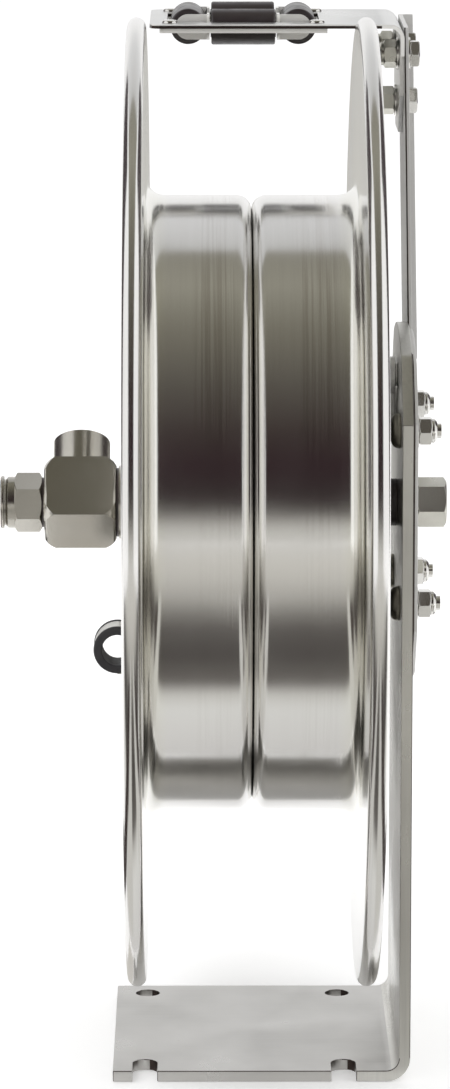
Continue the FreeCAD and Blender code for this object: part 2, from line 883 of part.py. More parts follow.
def window_outline(gap):
    """The cross-shaped window round the four rollers, about the middle of the cage."""
    length = f"(window_length + {gap})"
    depth = f"(window_depth + {gap})"
    waist_x = f"(long_ear_back + {gap})"
    waist_y = f"(side_ear_back + {gap})"
    quarter = [(waist_x, depth), (waist_x, waist_y), (length, waist_y)]
    right_low = [(x, "-" + y) for x, y in reversed(quarter)]
    left_low = [("-" + x, "-" + y) for x, y in quarter]
    left_high = [("-" + x, y) for x, y in reversed(quarter)]
    points = quarter + right_low + left_low + left_high
    return [(f"cage_middle + {x}", y) for x, y in points]


def make_roller_bracket():
    outline = [
        ("-bracket_left", "bracket_under"),
        ("-bracket_left", "bracket_rise"),
        ("post_back", "bracket_rise"),
        ("post_back", "bracket_rise - tongue_length"),
        ("post_back - bracket_sheet", "bracket_rise - tongue_length"),
        ("post_back - bracket_sheet", "bracket_under"),
    ]
    spot = ("0", "middle_y", "axle_height")
    body = padded("XZ_Plane", outline, "bracket_far - bracket_near", spot, symmetric=True)
    round_edges(body, "bracket_bend", is_line_at(x="post_back - bracket_sheet", z="bracket_under"))
    round_edges(body, "bracket_bend + bracket_sheet", is_line_at(x="post_back", z="bracket_rise"))
    shoulder = "bracket_rise - tongue_shoulder"
    foot = "bracket_rise - tongue_length"
    for sign in ("", "-"):
        waste = [
            (f"{sign}tongue_half_width", shoulder),
            (f"{sign}(bracket_far - bracket_near)", shoulder),
            (f"{sign}(bracket_far - bracket_near)", f"{foot} - 1"),
            (f"{sign}tongue_tip_half_width", f"{foot} - 1"),
            (f"{sign}tongue_tip_half_width", foot),
            (f"{sign}tongue_half_width", f"{foot} + tongue_taper"),
        ]
        pocket(body, "YZ_Plane", waste)
    pocket(body, "XY_Plane", window_outline("0.6"))
    for y in ("(bracket_far - bracket_near) / 2", "-(bracket_far - bracket_near) / 2"):
        round_edges(body, "bracket_corner", is_line_at(x="-bracket_left", y=y))
    holes = []
    for y, z in bracket_bolt_places():
        spot = ("post_back - bracket_sheet - 1", y, z)
        holes.append(rod("bolt_hole_radius", "bracket_sheet + 2", spot, "x"))
    for spot in cage_spots("axle_height + bracket_under - 1"):
        holes.append(rod("rivet_size / 2", "bracket_sheet + 2", spot, "z"))
    node(cut(body, *holes), "roller_bracket")


def make_bracket_fasteners():
    grip = "2 * washer_wall + arm_wall + bracket_sheet"
    length = f"{grip} + nut_height + nut_collar_height + thread_tip"
    bolt = hex_bolt("bolt_flats", "bolt_head_height", "bolt_radius", length, "edge_turn")
    place(bolt, ORIGIN, FROM_X["-x"])
    outer = "arm_back + washer_wall"
    places = bracket_bolt_places()
    node(copies(bolt, [(outer, y, z) for y, z in places]), "bracket_bolts")
    inner_face = "post_back - bracket_sheet"
    disc = washer("washer_wall", "washer_size / 2", "bolt_radius")
    spots = [("arm_back", y, z) for y, z in places]
    spots += [(f"{inner_face} - washer_wall", y, z) for y, z in places]
    node(copies(disc, spots), "bracket_washers")
    nut = hex_nut("bolt_flats", "nut_height", "nut_collar_height", "bolt_radius")
    place(nut, ORIGIN, FROM_X["-x"])
    node(copies(nut, [(f"{inner_face} - washer_wall", y, z) for y, z in places]), "bracket_nuts")


def make_roller_cage():
    z_low = "axle_height + cage_under"
    plate = block(
        ("cage_middle - cage_half_length", "middle_y - cage_half_depth", z_low),
        ("cage_middle + cage_half_length", "middle_y + cage_half_depth", "axle_height + bracket_under"),
    )
    below = ("0", "middle_y", f"{z_low} - 1")
    opening = padded("XY_Plane", window_outline("0"), "cage_wall + 2", below)
    z_span = (
        "axle_height + roller_rise - ear_half_height",
        "axle_height + roller_rise + ear_half_height",
    )
    z_middle = "axle_height + roller_rise"
    ears = []
    for side in "-+":
        for end in "-+":
            x_span = span("cage_middle", side, "long_ear_face", "long_ear_back")
            y_span = span("middle_y", end, "window_depth - 2 * roller_radius", "long_roller_offset")
            ears.append(block(*zip(x_span, y_span, z_span)))
            middle = (x_span[0], f"middle_y {end} long_roller_offset", z_middle)
            ears.append(rod("ear_half_height", "ear_wall", middle, "x"))
            x_span = span("cage_middle", side, "long_ear_face", "side_roller_offset")
            y_span = span("middle_y", end, "side_ear_face", "side_ear_back")
            ears.append(block(*zip(x_span, y_span, z_span)))
            middle = (f"cage_middle {side} side_roller_offset", y_span[0], z_middle)
            ears.append(rod("ear_half_height", "ear_wall", middle, "y"))
    holes = roller_axes("roller_pin_size / 2", "long_ear_back + 1", "side_ear_back + 1")
    for spot in cage_spots(f"{z_low} - 1"):
        holes.append(rod("rivet_size / 2", "cage_wall + 2", spot, "z"))
    node(cut(fuse(cut(plate, opening), *ears), *holes), "roller_cage")


def span(middle, sign, near, far):
    """The two places near and far from the middle on one side of it, lower one first."""
    places = (f"{middle} {sign} ({near})", f"{middle} {sign} ({far})")
    return places if sign == "+" else places[::-1]


def roller_axes(radius, long_half, side_half):
    """Four rods along the rollers' axes: front and rear along X, left and right along Y."""
    z = "axle_height + roller_rise"
    rods = []
    for sign in ("-", "+"):
        spot = (f"cage_middle - ({long_half})", f"middle_y {sign} long_roller_offset", z)
        rods.append(rod(radius, f"2 * ({long_half})", spot, "x"))
    for sign in ("-", "+"):
        spot = (f"cage_middle {sign} side_roller_offset", f"middle_y - ({side_half})", z)
        rods.append(rod(radius, f"2 * ({side_half})", spot, "y"))
    return rods


def make_rollers():
    pins = roller_axes("roller_pin_size / 2", "long_ear_back", "side_ear_back")
    node(group(pins), "roller_pins")
    z = "axle_height + roller_rise"
    names = ("roller_front", "roller_rear", "roller_left", "roller_right")
    for i, name in enumerate(names):
        sign = "-" if i % 2 == 0 else "+"
        if i < 2:
            half = "long_roller_half"
            spot = ("cage_middle", f"middle_y {sign} long_roller_offset", z)
            axis = "x"
        else:
            half = "side_roller_half"
            spot = (f"cage_middle {sign} side_roller_offset", "middle_y", z)
            axis = "y"
        bore = "roller_pin_size / 2 + roller_bore_gap"
        outline = [
            (f"-{half}", bore),
            (half, bore),
            (half, "roller_radius - 0.8"),
            (f"{half} - 0.8", "roller_radius"),
            (f"0.8 - {half}", "roller_radius"),
            (f"-{half}", "roller_radius - 0.8"),
        ]
        node(turned(outline, spot, axis), name)


def make_cage_rivets():
    """Low domed rivets through the bracket and the cage, with flat tails underneath."""
    grip = "(bracket_sheet + cage_wall)"
    head = domed_bolt("rivet_head_size / 2", "rivet_head_height", "rivet_size / 2", grip)
    tail = turned(
        [
            (f"{grip} - 0.5", "0"),
            (f"{grip} - 0.5", "rivet_size / 2"),
            (grip, "rivet_size / 2"),
            (grip, "rivet_size * 0.7"),
            (f"{grip} + rivet_tail_height", "rivet_size * 0.6"),
            (f"{grip} + rivet_tail_height", "0"),
        ],
        ORIGIN,
    )
    rivet = fuse(head, tail)
    place(rivet, ORIGIN, FROM_X["-z"])
    node(copies(rivet, cage_spots("axle_height + bracket_rise")), "cage_rivets")


# Drum


def tie_rods(start, end):
    return ring_rods("tie_bolt_size / 2", start, end, "tie_circle", "tie_bolt_count")


def cover_rods(start, end):
    return ring_rods("screw_size / 2", start, end, "cover_screw_circle", "cover_screw_count", "15")


def ratchet_rods(start, end):
    return ring_rods("screw_size / 2", start, end, "ratchet_screw_circle", "4", "45")


def make_drum_half(sign):
    """One spun half: bottom at the seam, barrel, web and rolled rim."""

    def out(text):
        return f"{sign}({text})"

    outline = [
        (out("0"), "hub_radius + 0.1"),
        (out("0"), "drum_radius"),
        (out("channel_half_width"), "drum_radius"),
        (out("channel_half_width"), "rim_radius"),
        (out("web_back"), "rim_radius"),
        (out("web_back"), "drum_radius - spun_wall"),
        (out("spun_wall"), "drum_radius - spun_wall"),
        (out("spun_wall"), "hub_radius + 0.1"),
    ]
    half = turned(outline)
    inner_radius = "drum_radius - spun_wall"
    round_edges(half, "seam_corner", is_ring("0", "drum_radius"))
    round_edges(half, "seam_corner - spun_wall", is_ring(out("spun_wall"), inner_radius))
    round_edges(half, "web_fillet", is_ring(out("channel_half_width"), "drum_radius"))
    round_edges(half, "web_fillet + spun_wall", is_ring(out("web_back"), inner_radius))
    bead = sketch_on(half, "XY_Plane")
    circle(bead, (out("rim_middle"), "rim_radius"), "rim_bead / 2")
    spin(half, bead)
    return half, tie_rods("-spun_wall - 1", "spun_wall + 1")


def make_drum_halves():
    half, tools = make_drum_half("-")
    slot_start = "drum_radius * 0.8"
    middle_x = "-channel_half_width / 2"
    middle_z = "axle_height - outlet_drop"
    reach = "(hose_slot_length - hose_slot_width) / 2"
    slot = [
        block(
            (f"{middle_x} - hose_slot_width / 2", slot_start, f"{middle_z} - {reach}"),
            (f"{middle_x} + hose_slot_width / 2", "drum_radius + 2", f"{middle_z} + {reach}"),
        )
    ]
    for sign in ("-", "+"):
        spot = (middle_x, slot_start, f"{middle_z} {sign} {reach}")
        slot.append(rod("hose_slot_width / 2", f"drum_radius + 2 - {slot_start}", spot, "y"))
    foot_holes = []
    for x, y, z in bracket_foot_spots("-spun_wall - 1"):
        foot_holes.append(rod("screw_size / 2", "spun_wall + 2", (x, y, z), "x"))
    node(cut(half, *tools, *slot, *foot_holes), "drum_half_inlet")
    half, tools = make_drum_half("")
    for x, y, z in bracket_foot_spots("-1"):
        tools.append(rod("screw_nut_flats * 0.66", "spun_wall + 2", (x, y, z), "x"))
    node(cut(half, *tools), "drum_half_spring")


def make_hub():
    flange_face = "-spun_wall - hub_flange_wall"
    body = turned(
        [
            ("-hub_left_end", "0"),
            ("-hub_left_end", "hub_neck_radius"),
            (f"{flange_face} - 3", "hub_neck_radius"),
            (flange_face, "hub_radius"),
            (flange_face, "hub_flange_radius"),
            ("-spun_wall", "hub_flange_radius"),
            ("-spun_wall", "hub_radius"),
            ("hub_right_end", "hub_radius"),
            ("hub_right_end", "0"),
        ]
    )
    left_end = raised("0", "0", "-hub_left_end")
    bearing_start = raised("0", "0", "-bearing_half_length")
    room_start = raised("0", "0", "-axle_inner_end - 2")
    bores = [
        rod("bearing_radius", "hub_right_end + bearing_half_length", bearing_start, "x"),
        rod("axle_radius + 1", "axle_inner_end", room_start, "x"),
        rod("stem_radius", "hub_left_end - stem_inner_end", left_end, "x"),
        rod("chamber_bore", "hub_left_end - axle_inner_end - 8", left_end, "x"),
        rod("elbow_neck_radius", "hub_neck_radius", raised("-hub_neck_radius - 1", "0", "-outlet_place"), "z"),
    ]
    node(cut(body, *bores, *tie_rods(f"{flange_face} - 4", "0")), "drum_hub")


def make_bearings():
    half = "bearing_half_length"
    node(ring(f"-{half}", half, "axle_fit", "bearing_radius"), "bearing_inner")
    start = "clip_start + clip_wall + 0.3"
    node(ring(start, "cover_boss_end", "axle_fit", "bearing_radius"), "bearing_outer")


def make_tie_fasteners():
    length = "hub_flange_wall + 3 * spun_wall + tie_nut_height + 1"
    bolt = hex_bolt("tie_flats", "tie_head_height", "tie_bolt_size / 2", length)
    seat = "-spun_wall - hub_flange_wall"
    node(copies(bolt, ring_spots("tie_circle", "tie_bolt_count", seat)), "tie_bolts")
    nut = hexagon("tie_flats", "0", "tie_nut_height", "tie_bolt_size / 2", ORIGIN)
    node(copies(nut, ring_spots("tie_circle", "tie_bolt_count", "2 * spun_wall")), "tie_nuts")


def make_spring_case():
    outline = [
        ("spun_wall", "hub_radius + 0.1"),
        ("spun_wall", "case_radius"),
        ("case_end - spun_wall", "case_radius"),
        ("case_end - spun_wall", "case_lip_radius"),
        ("case_end", "case_lip_radius"),
        ("case_end", "case_wall_inner"),
        ("2 * spun_wall", "case_wall_inner"),
        ("2 * spun_wall", "hub_radius + 0.1"),
    ]
    tools = tie_rods("0", "2 * spun_wall + 1") + cover_rods("case_end - spun_wall - 1", "case_end + 1")
    node(cut(turned(outline), *tools), "spring_case")
    cover = turned(
        [
            ("case_end", "bearing_radius"),
            ("case_end", "case_lip_radius"),
            ("cover_face", "case_lip_radius"),
            ("cover_face", "cover_boss_radius + 3"),
            ("cover_face + 3", "cover_boss_radius"),
            ("cover_boss_end", "cover_boss_radius"),
            ("cover_boss_end", "bearing_radius"),
        ]
    )
    tools = cover_rods("case_end - 1", "cover_face + 1")
    tools += ratchet_rods("case_end - 1", "cover_boss_end + 1")
    node(cut(cover, *tools), "case_cover")
    screw = small_screw("cover_wall + spun_wall")
    place(screw, ORIGIN, FROM_X["-x"])
    spots = ring_spots("cover_screw_circle", "cover_screw_count", "cover_face", "15")
    node(copies(screw, spots), "cover_screws")
    nut = small_nut()
    place(nut, ORIGIN, FROM_X["-x"])
    spots = ring_spots("cover_screw_circle", "cover_screw_count", "case_end - spun_wall", "15")
    node(copies(nut, spots), "cover_nuts")


def make_power_spring():
    """A flat strip wound in half circles about two centres, so that the radius grows steadily."""
    pitch = value("spring_pitch")
    wall = value("strip_wall")
    inner_edges = []
    outer_edges = []
    radius = value("spring_inner_radius")
    for half_turn in range(2 * int(value("spring_turns"))):
        side = 1 if half_turn % 2 == 0 else -1
        centre = FreeCAD.Vector(0, side * pitch / 4, 0)
        for edges, reach in ((inner_edges, radius), (outer_edges, radius + wall)):
            start = centre + FreeCAD.Vector(0, -side * reach, 0)
            middle = centre + FreeCAD.Vector(side * reach, 0, 0)
            end = centre + FreeCAD.Vector(0, side * reach, 0)
            edges.append(Part.Arc(start, middle, end).toShape())
        radius += pitch / 2
    tips = []
    for end in (0, -1):
        inner_tip = inner_edges[end].Vertexes[end].Point
        tips.append(Part.makeLine(inner_tip, outer_edges[end].Vertexes[end].Point))
    wire = Part.Wire(Part.__sortEdges__(inner_edges + outer_edges + tips))
    strip = Part.Face(wire).extrude(FreeCAD.Vector(0, 0, value("strip_width")))
    spring = doc.addObject("Part::Feature", "power_spring")
    spring.Shape = strip
    spot = FreeCAD.Vector(value("spring_start"), 0, value("axle_height"))
    spring.Placement = FreeCAD.Placement(spot, FROM_Z["x"])
    node(spring, "power_spring")


def make_ratchet():
    body = ring("cover_boss_end", "ratchet_end", "axle_radius + 1", "ratchet_radius")
    face = "tooth_face_angle * 1 deg"
    back = "tooth_back_angle * 1 deg"
    over = "(ratchet_radius + 3)"
    gap = [
        (f"ratchet_root * sin({face})", f"ratchet_root * cos({face})"),
        (f"{over} * sin({face})", f"{over} * cos({face})"),
        (f"{over} * sin({back})", f"{over} * cos({back})"),
        (f"ratchet_radius * sin({back})", f"ratchet_radius * cos({back})"),
    ]
    notch = pocket(body, "YZ_Plane", gap)
    doc.recompute()
    pattern = body.newObject("PartDesign::PolarPattern", "teeth")
    pattern.Originals = [notch]
    axis = next(f for f in body.Origin.OriginFeatures if f.Role == "X_Axis")
    pattern.Axis = (axis, [""])
    pattern.Angle = 360
    bind(pattern, "Occurrences", "ratchet_teeth")
    body.Tip = pattern
    node(cut(body, *ratchet_rods("cover_boss_end - 1", "ratchet_end + 1")), "ratchet_wheel")
    depth = "ratchet_end - case_end"
    screw = domed_bolt("screw_head_size / 2", "screw_head_height", "screw_size / 2", depth)
    place(screw, ORIGIN, FROM_X["-x"])
    node(copies(screw, ring_spots("ratchet_screw_circle", "4", "ratchet_end", "45")), "ratchet_screws")


# Swivel and outlet


def make_spindle():
    seal_floor = "stem_radius - seal_wire - 0.05"
    points = [("-stem_inner_end", "stem_bore"), ("-stem_inner_end", "stem_radius")]
    for seal in ("inner_seal_place", "outer_seal_place"):
        points += [
            (f"seal_width / 2 - {seal}", "stem_radius"),
            (f"seal_width / 2 - {seal}", seal_floor),
            (f"-seal_width / 2 - {seal}", seal_floor),
            (f"-seal_width / 2 - {seal}", "stem_radius"),
        ]
    points += [
        ("-swivel_hex_start - 1", "stem_radius"),
        ("-swivel_hex_start - 1", "stem_bore"),
    ]
    stem = turned(points)
    head = hexagon("swivel_hex_flats", "-swivel_hex_end", "-swivel_hex_start", "stem_bore")
    collar = turned(
        [
            ("-collar_end", "stem_bore"),
            ("-collar_end", "collar_radius - 0.8"),
            ("0.8 - collar_end", "collar_radius"),
            ("0.6 - swivel_hex_end", "collar_radius"),
            ("0.6 - swivel_hex_end", "stem_bore"),
        ]
    )
    holes = [
        rod("stem_bore * 0.6", "2 * stem_radius + 2", raised("-stem_radius - 1", "0", "-port_place"), "z"),
        rod("stem_bore * 0.6", "2 * stem_radius + 2", raised("0", "-stem_radius - 1", "-port_place"), "y"),
    ]
    node(cut(fuse(stem, head, collar), *holes), "swivel_spindle")
    plug = turned(
        [
            ("-plug_end", "0"),
            ("-plug_end", "plug_radius - 0.5"),
            ("0.5 - plug_end", "plug_radius"),
            ("-collar_end - 0.9", "plug_radius"),
            ("-collar_end - 0.9", "plug_radius - 1.5"),
            ("-collar_end", "plug_radius - 1.5"),
            ("-collar_end", "stem_bore"),
            ("-swivel_hex_start - 4", "stem_bore"),
            ("-swivel_hex_start - 4", "0"),
        ]
    )
    node(plug, "swivel_plug")
    inner = ring("-block_inner_face + 0.1", "-hub_left_end", "stem_radius", "thrust_radius")
    rim = "swivel_hex_flats / 2 - 0.4"
    outer = ring("-swivel_hex_start", "-block_outer_face - 0.1", "stem_radius", rim)
    node(group([inner, outer]), "swivel_washers")
    seals = []
    for seal in ("inner_seal_place", "outer_seal_place"):
        torus = doc.addObject("Part::Torus", "seal")
        bind(torus, "Radius1", "stem_radius - seal_wire / 2 - 0.02")
        bind(torus, "Radius2", "seal_wire / 2")
        place(torus, (f"-{seal}", "0", "axle_height"), FROM_Z["x"])
        seals.append(torus)
    node(group(seals), "swivel_seals")


def make_swivel_block():
    half = "block_side / 2"
    cube = block(("-block_outer_face", f"-{half}", f"-{half}"), ("-block_inner_face", half, half))
    corner = "block_side * 0.69"
    rounded = [("0", f"{half} - 1.6"), ("0.27", f"{half} + 0.3"), ("0.55", "block_side * 0.6"), ("1", corner)]
    outer = [(f"block_end_round * {share} - block_outer_face", radius) for share, radius in rounded]
    inner = [(f"-block_end_round * {share} - block_inner_face", radius) for share, radius in rounded]
    envelope = turned(
        [("-block_outer_face", "0"), *outer, *reversed(inner), ("-block_inner_face", "0")],
        ORIGIN,
    )
    port = turned(
        [
            ("0", "0"),
            ("0", "port_size / 2"),
            ("port_reach - 0.8", "port_size / 2"),
            ("port_reach", "port_size / 2 - 0.8"),
            ("port_reach", "0"),
        ],
        ("-port_place", "0", "0"),
        "z",
    )
    length = "block_outer_face - block_inner_face"
    bore = rod("stem_radius + running_gap", f"{length} + 2", ("-block_outer_face - 1", "0", "0"), "x")
    chamber_start = ("-port_place - chamber_half_width", "0", "0")
    chamber = rod("chamber_radius", "2 * chamber_half_width", chamber_start, "x")
    thread_start = ("-port_place", "0", "port_reach - port_thread_length")
    thread = rod("port_thread / 2", "port_thread_length + 1", thread_start, "z")
    relief_start = ("-port_place", "0", "port_reach - port_depth")
    relief = rod("port_relief / 2", "port_depth - port_thread_length", relief_start, "z")
    passage = rod("stem_bore", "port_reach - port_depth", ("-port_place", "0", "1"), "z")
    body = cut(fuse(common(cube, envelope), port), bore, chamber, thread, relief, passage)
    lean = FreeCAD.Rotation(FreeCAD.Vector(-1, 0, 0), value("90 - port_angle"))
    place(body, AXLE, lean)
    bind(body, "Placement.Rotation.Angle", "90 - port_angle")
    node(body, "swivel_block")


def make_outlet():
    radius = "outlet_size / 2"
    corner = raised("-outlet_drop", "0", "-outlet_place")
    thread_floor = raised("-outlet_drop", "outlet_reach - outlet_depth", "-outlet_place")
    neck = rod("elbow_neck_radius", "outlet_drop - chamber_bore - 1", corner, "z")
    down = rod(radius, "outlet_drop - hub_neck_radius - 2", corner, "z")
    knee = ball(radius, corner)
    back = rod(radius, "outlet_reach", corner, "y")
    bore_down = rod("elbow_bore", "outlet_drop", corner, "z")
    bore_back = rod("elbow_bore", "outlet_reach + 1", corner, "y")
    thread = rod("outlet_thread / 2", "outlet_depth + 1", thread_floor, "y")
    node(cut(fuse(neck, down, knee, back), bore_down, bore_back, thread), "outlet_elbow")


def bracket_foot_spots(x):
    drop = "-shelf_top - foot_length * 0.6"
    return [raised(drop, y, x) for y in ("-bracket_width / 4", "bracket_width / 4")]


def make_clamp_bracket():
    outline = [
        ("-spun_wall", "-shelf_top"),
        ("-shelf_end", "-shelf_top"),
        ("-shelf_end", "-shelf_top - bracket_wall"),
        ("-spun_wall - bracket_wall", "-shelf_top - bracket_wall"),
        ("-spun_wall - bracket_wall", "-shelf_top - foot_length"),
        ("-spun_wall", "-shelf_top - foot_length"),
    ]
    body = padded("XZ_Plane", outline, "bracket_width", AXLE, symmetric=True)
    inner = is_line_at(x="-spun_wall - bracket_wall", z="-shelf_top - bracket_wall")
    round_edges(body, "bracket_wall", inner)
    round_edges(body, "2 * bracket_wall", is_line_at(x="-spun_wall", z="-shelf_top"))
    below = raised("-shelf_top - bracket_wall - 1", "0", CLAMP_SCREW_X)
    holes = [rod("clamp_screw_size / 2", "bracket_wall + 2", below, "z")]
    for x, y, z in bracket_foot_spots("-spun_wall - bracket_wall - 1"):
        holes.append(rod("screw_size / 2", "bracket_wall + 2", (x, y, z), "x"))
    node(cut(body, *holes), "clamp_bracket")
    screw = small_screw("bracket_wall + spun_wall")
    node(copies(screw, bracket_foot_spots("-spun_wall - bracket_wall")), "bracket_screws")
    node(copies(small_nut(), bracket_foot_spots("0")), "bracket_screw_nuts")


CLAMP_SCREW_X = "clamp_tab_length * 0.72 - clamp_place"


def make_hose_clamp():
    middle = raised("-clamp_drop", "-cushion_width / 2", "-clamp_place")
    band_middle = raised("-clamp_drop", "-band_width / 2", "-clamp_place")
    cushion_outer = "clamp_hole / 2 + cushion_wall"
    band_outer = f"{cushion_outer} + band_wall"
    cushion = ring("0", "cushion_width", "clamp_hole / 2", cushion_outer, middle, "y")
    node(cushion, "hose_clamp_cushion")
    low_z = f"axle_height - clamp_drop - ({band_outer})"
    hoop = ring("0", "band_width", cushion_outer, band_outer, band_middle, "y")
    half = "band_width / 2"
    tab_end = "clamp_tab_length - clamp_place"
    lower = block(
        ("-clamp_place", f"-{half}", f"{low_z} - band_wall"),
        (tab_end, half, low_z),
    )
    upper = block(("-clamp_place", f"-{half}", low_z), (tab_end, half, f"{low_z} + band_wall"))
    below = raised("-shelf_top - band_wall", "0", CLAMP_SCREW_X)
    hole = rod("clamp_screw_size / 2", "4 * band_wall", below, "z")
    node(cut(fuse(hoop, lower, upper), hole), "hose_clamp_band")
    seat = "-shelf_top + 2 * band_wall"
    length = "2 * band_wall + bracket_wall + clamp_nut_height + screw_tip"
    screw = hex_bolt("clamp_screw_flats", "clamp_screw_head", "clamp_screw_size / 2", length)
    place(screw, ORIGIN, FROM_X["-z"])
    node(copies(screw, [raised(seat, "0", CLAMP_SCREW_X)]), "clamp_screw")
    nut = hexagon("clamp_screw_flats", "0", "clamp_nut_height", "clamp_screw_size / 2", ORIGIN)
    place(nut, ORIGIN, FROM_X["-z"])
    node(copies(nut, [raised("-shelf_top - bracket_wall", "0", CLAMP_SCREW_X)]), "clamp_nut")


def check_and_save():
    doc.recompute()
    for thing in doc.Objects:
        bad = [state for state in thing.State if state in ("Invalid", "Error")]
        if bad:
            raise RuntimeError(f"{thing.Name} {thing.Label} is {bad}")
    os.makedirs("parts", exist_ok=True)
    for thing in nodes:
        shape = thing.Shape
        if shape.isNull() or not shape.isValid() or not shape.Solids:
            raise RuntimeError(f"{thing.Label} has no valid shape")
        shape.exportStep(f"parts/{thing.Label}.step")
        print(thing.Label, len(shape.Solids), round(shape.Volume))


make_pedestal()
make_guide_arm()
make_arm_fasteners()
make_axle()
make_arbor()
make_pawl_pin()
make_pawl()
make_roller_bracket()
make_bracket_fasteners()
make_roller_cage()
make_cage_rivets()
make_rollers()
make_drum_halves()
make_hub()
make_bearings()
make_tie_fasteners()
make_spring_case()
make_power_spring()
make_ratchet()
make_spindle()
make_swivel_block()
make_outlet()
make_clamp_bracket()
make_hose_clamp()
check_and_save()
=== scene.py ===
import math

import bpy
from bpy.props import FloatProperty, FloatVectorProperty, IntProperty, PointerProperty
from mathutils import Matrix, Vector


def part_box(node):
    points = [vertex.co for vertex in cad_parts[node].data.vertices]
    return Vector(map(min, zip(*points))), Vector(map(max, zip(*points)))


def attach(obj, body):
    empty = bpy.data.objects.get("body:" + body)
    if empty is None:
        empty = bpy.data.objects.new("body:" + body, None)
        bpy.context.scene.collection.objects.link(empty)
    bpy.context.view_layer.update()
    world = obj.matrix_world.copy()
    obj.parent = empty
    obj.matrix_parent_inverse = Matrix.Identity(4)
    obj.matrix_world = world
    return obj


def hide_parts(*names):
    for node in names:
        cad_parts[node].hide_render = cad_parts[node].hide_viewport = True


bl_info = {
    "name": "Fire hose reel",
    "version": (1, 0, 0),
    "blender": (4, 5, 0),
    "location": "View3D > Sidebar > Hose reel",
    "description": "Dresses the packed hose reel with shaped metal, rubber and plastic pieces",
    "category": "Object",
}

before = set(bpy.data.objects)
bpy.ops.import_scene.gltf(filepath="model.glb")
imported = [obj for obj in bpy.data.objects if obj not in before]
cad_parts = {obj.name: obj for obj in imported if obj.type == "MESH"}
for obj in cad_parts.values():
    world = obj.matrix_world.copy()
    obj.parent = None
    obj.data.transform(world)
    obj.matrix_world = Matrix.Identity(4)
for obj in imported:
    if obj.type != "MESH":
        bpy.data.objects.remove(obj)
MM = 0.001
MERGE = 0.000002  # points nearer than this are one point
FLAT = 0.4  # faces that lie within this many degrees of one plane are joined
LEVEL = 0.000001  # two ends that differ by less than this along an axis are level on it
SMOOTH = 32  # faces that meet at less than this many degrees are shaded as one


# Sizes and colours that a user would change


def length(name, description, default):
    return FloatProperty(
        name=name, description=description, default=default, subtype="DISTANCE", unit="LENGTH",
    )


def tone(name, description, default):
    return FloatVectorProperty(
        name=name, description=description, default=default, subtype="COLOR", min=0, max=1,
    )


class ReelSizes(bpy.types.PropertyGroup):
    axle_height: length("Axle height", "Height of the axle's line over the foot's underside", 0.241)
    disc_radius: length("Disc radius", "Radius of the discs over their rolled rims", 0.210)
    rim_bead: length("Rim bead", "Thickness of the rolled rim", 0.008)
    drum_radius: length("Drum radius", "Radius of the drum that the hose is wound on", 0.1335)
    channel_half_width: length("Half channel", "From the seam to the inner face of a disc", 0.0455)
    spun_wall: length("Spun wall", "Thickness of the spun sheet", 0.0015)
    seam_corner: length("Seam corner", "Radius of the drum's corner at the seam", 0.0065)
    web_fillet: length("Web fillet", "Radius between the drum and a disc", 0.008)
    slot_height: length("Slot height", "Height of the hose slot in the drum", 0.046)
    slot_width: length("Slot width", "Width of the hose slot in the drum", 0.026)
    roller_radius: length("Roller radius", "Radius of the guide rollers", 0.0079)
    block_side: length("Swivel block", "Width of the swivel's square block over its flats", 0.0292)
    block_inner_face: length("Block inner face", "From the seam to the block's drum side", 0.0585)
    block_outer_face: length("Block outer face", "From the seam to the block's outer face", 0.0899)
    port_place: length("Port place", "From the seam to the middle of the inlet port", 0.0740)
    port_size: length("Port size", "Outside width of the inlet port", 0.0248)
    port_reach: length("Port reach", "From the axle's line to the port's end", 0.0294)
    port_angle: FloatProperty(
        name="Port angle", description="Angle of the port over the floor, in degrees", default=50.0,
    )
    clamp_hole: length("Clamp hole", "Radius of the hole in the hose clamp", 0.00675)
    round_steps: IntProperty(
        name="Round steps", description="Steps of the spin round the axle", default=192, min=48, max=360,
    )


class ReelColours(bpy.types.PropertyGroup):
    drum: tone("Drum", "Polished stainless sheet of the drum", (0.86, 0.85, 0.83))
    stand: tone("Stand", "Satin stainless sheet of the stand", (0.67, 0.66, 0.62))
    foot: tone("Foot", "Satin stainless sheet of the foot", (0.54, 0.53, 0.51))
    arm: tone("Guide arm", "Lighter sheet of the guide arm and the latch", (0.74, 0.735, 0.72))
    # This colour is the dark cut edge of the sheet, and also painted shadow in the gaps between post, arm and
    # bracket.
    cut: tone("Cut edge and gap shade", "Laser-cut sheet edge, and painted shadow in the gaps between parts", (0.075, 0.058, 0.053))
    # This colour is the pale sheet of the cage and latch, and painted highlight along the bracket's front edges.
    lip: tone("Pale sheet and painted highlight", "Pale sheet of the cage and latch, and painted highlight on the bracket's front edges", (0.95, 0.94, 0.91))
    bracket: tone("Bracket", "Brushed sheet of the roller bracket", (0.78, 0.78, 0.77))
    bright: tone("Bright steel", "Machined nuts, bolts and axle parts", (0.80, 0.79, 0.76))
    nut: tone("Nuts", "Greyer steel of the locking nuts and the axle's nut", (0.62, 0.61, 0.55))
    dome: tone("Bolt domes", "Dull heads of the carriage bolts", (0.33, 0.315, 0.265))
    # This colour is a painted reflection tint on the fillets between drum and discs.
    fillet: tone("Fillet", "Painted reflection tint where the drum runs into a disc", (0.86, 0.85, 0.80))
    # This colour is partly turning marks and partly painted reflection streaks on the drum.
    line: tone("Turning lines and streaks", "Dark lines: turning marks and painted reflection streaks", (0.42, 0.37, 0.33))
    swivel: tone("Swivel", "Cast and machined swivel", (0.56, 0.54, 0.49))
    case: tone("Spring case", "Plain sheet of the spring case", (0.52, 0.51, 0.49))
    roller: tone("Rollers", "Dark nylon rollers", (0.031, 0.021, 0.024))
    bush: tone("Bush", "Black nylon bush", (0.050, 0.034, 0.030))
    rubber: tone("Rubber", "Matt rubber of the hose clamp", (0.045, 0.043, 0.047))
    bronze: tone("Bronze", "Sintered bronze bearings", (0.55, 0.36, 0.17))
    floor: tone("Floor", "Pale floor", (0.93, 0.93, 0.93))


# Selection and shaping


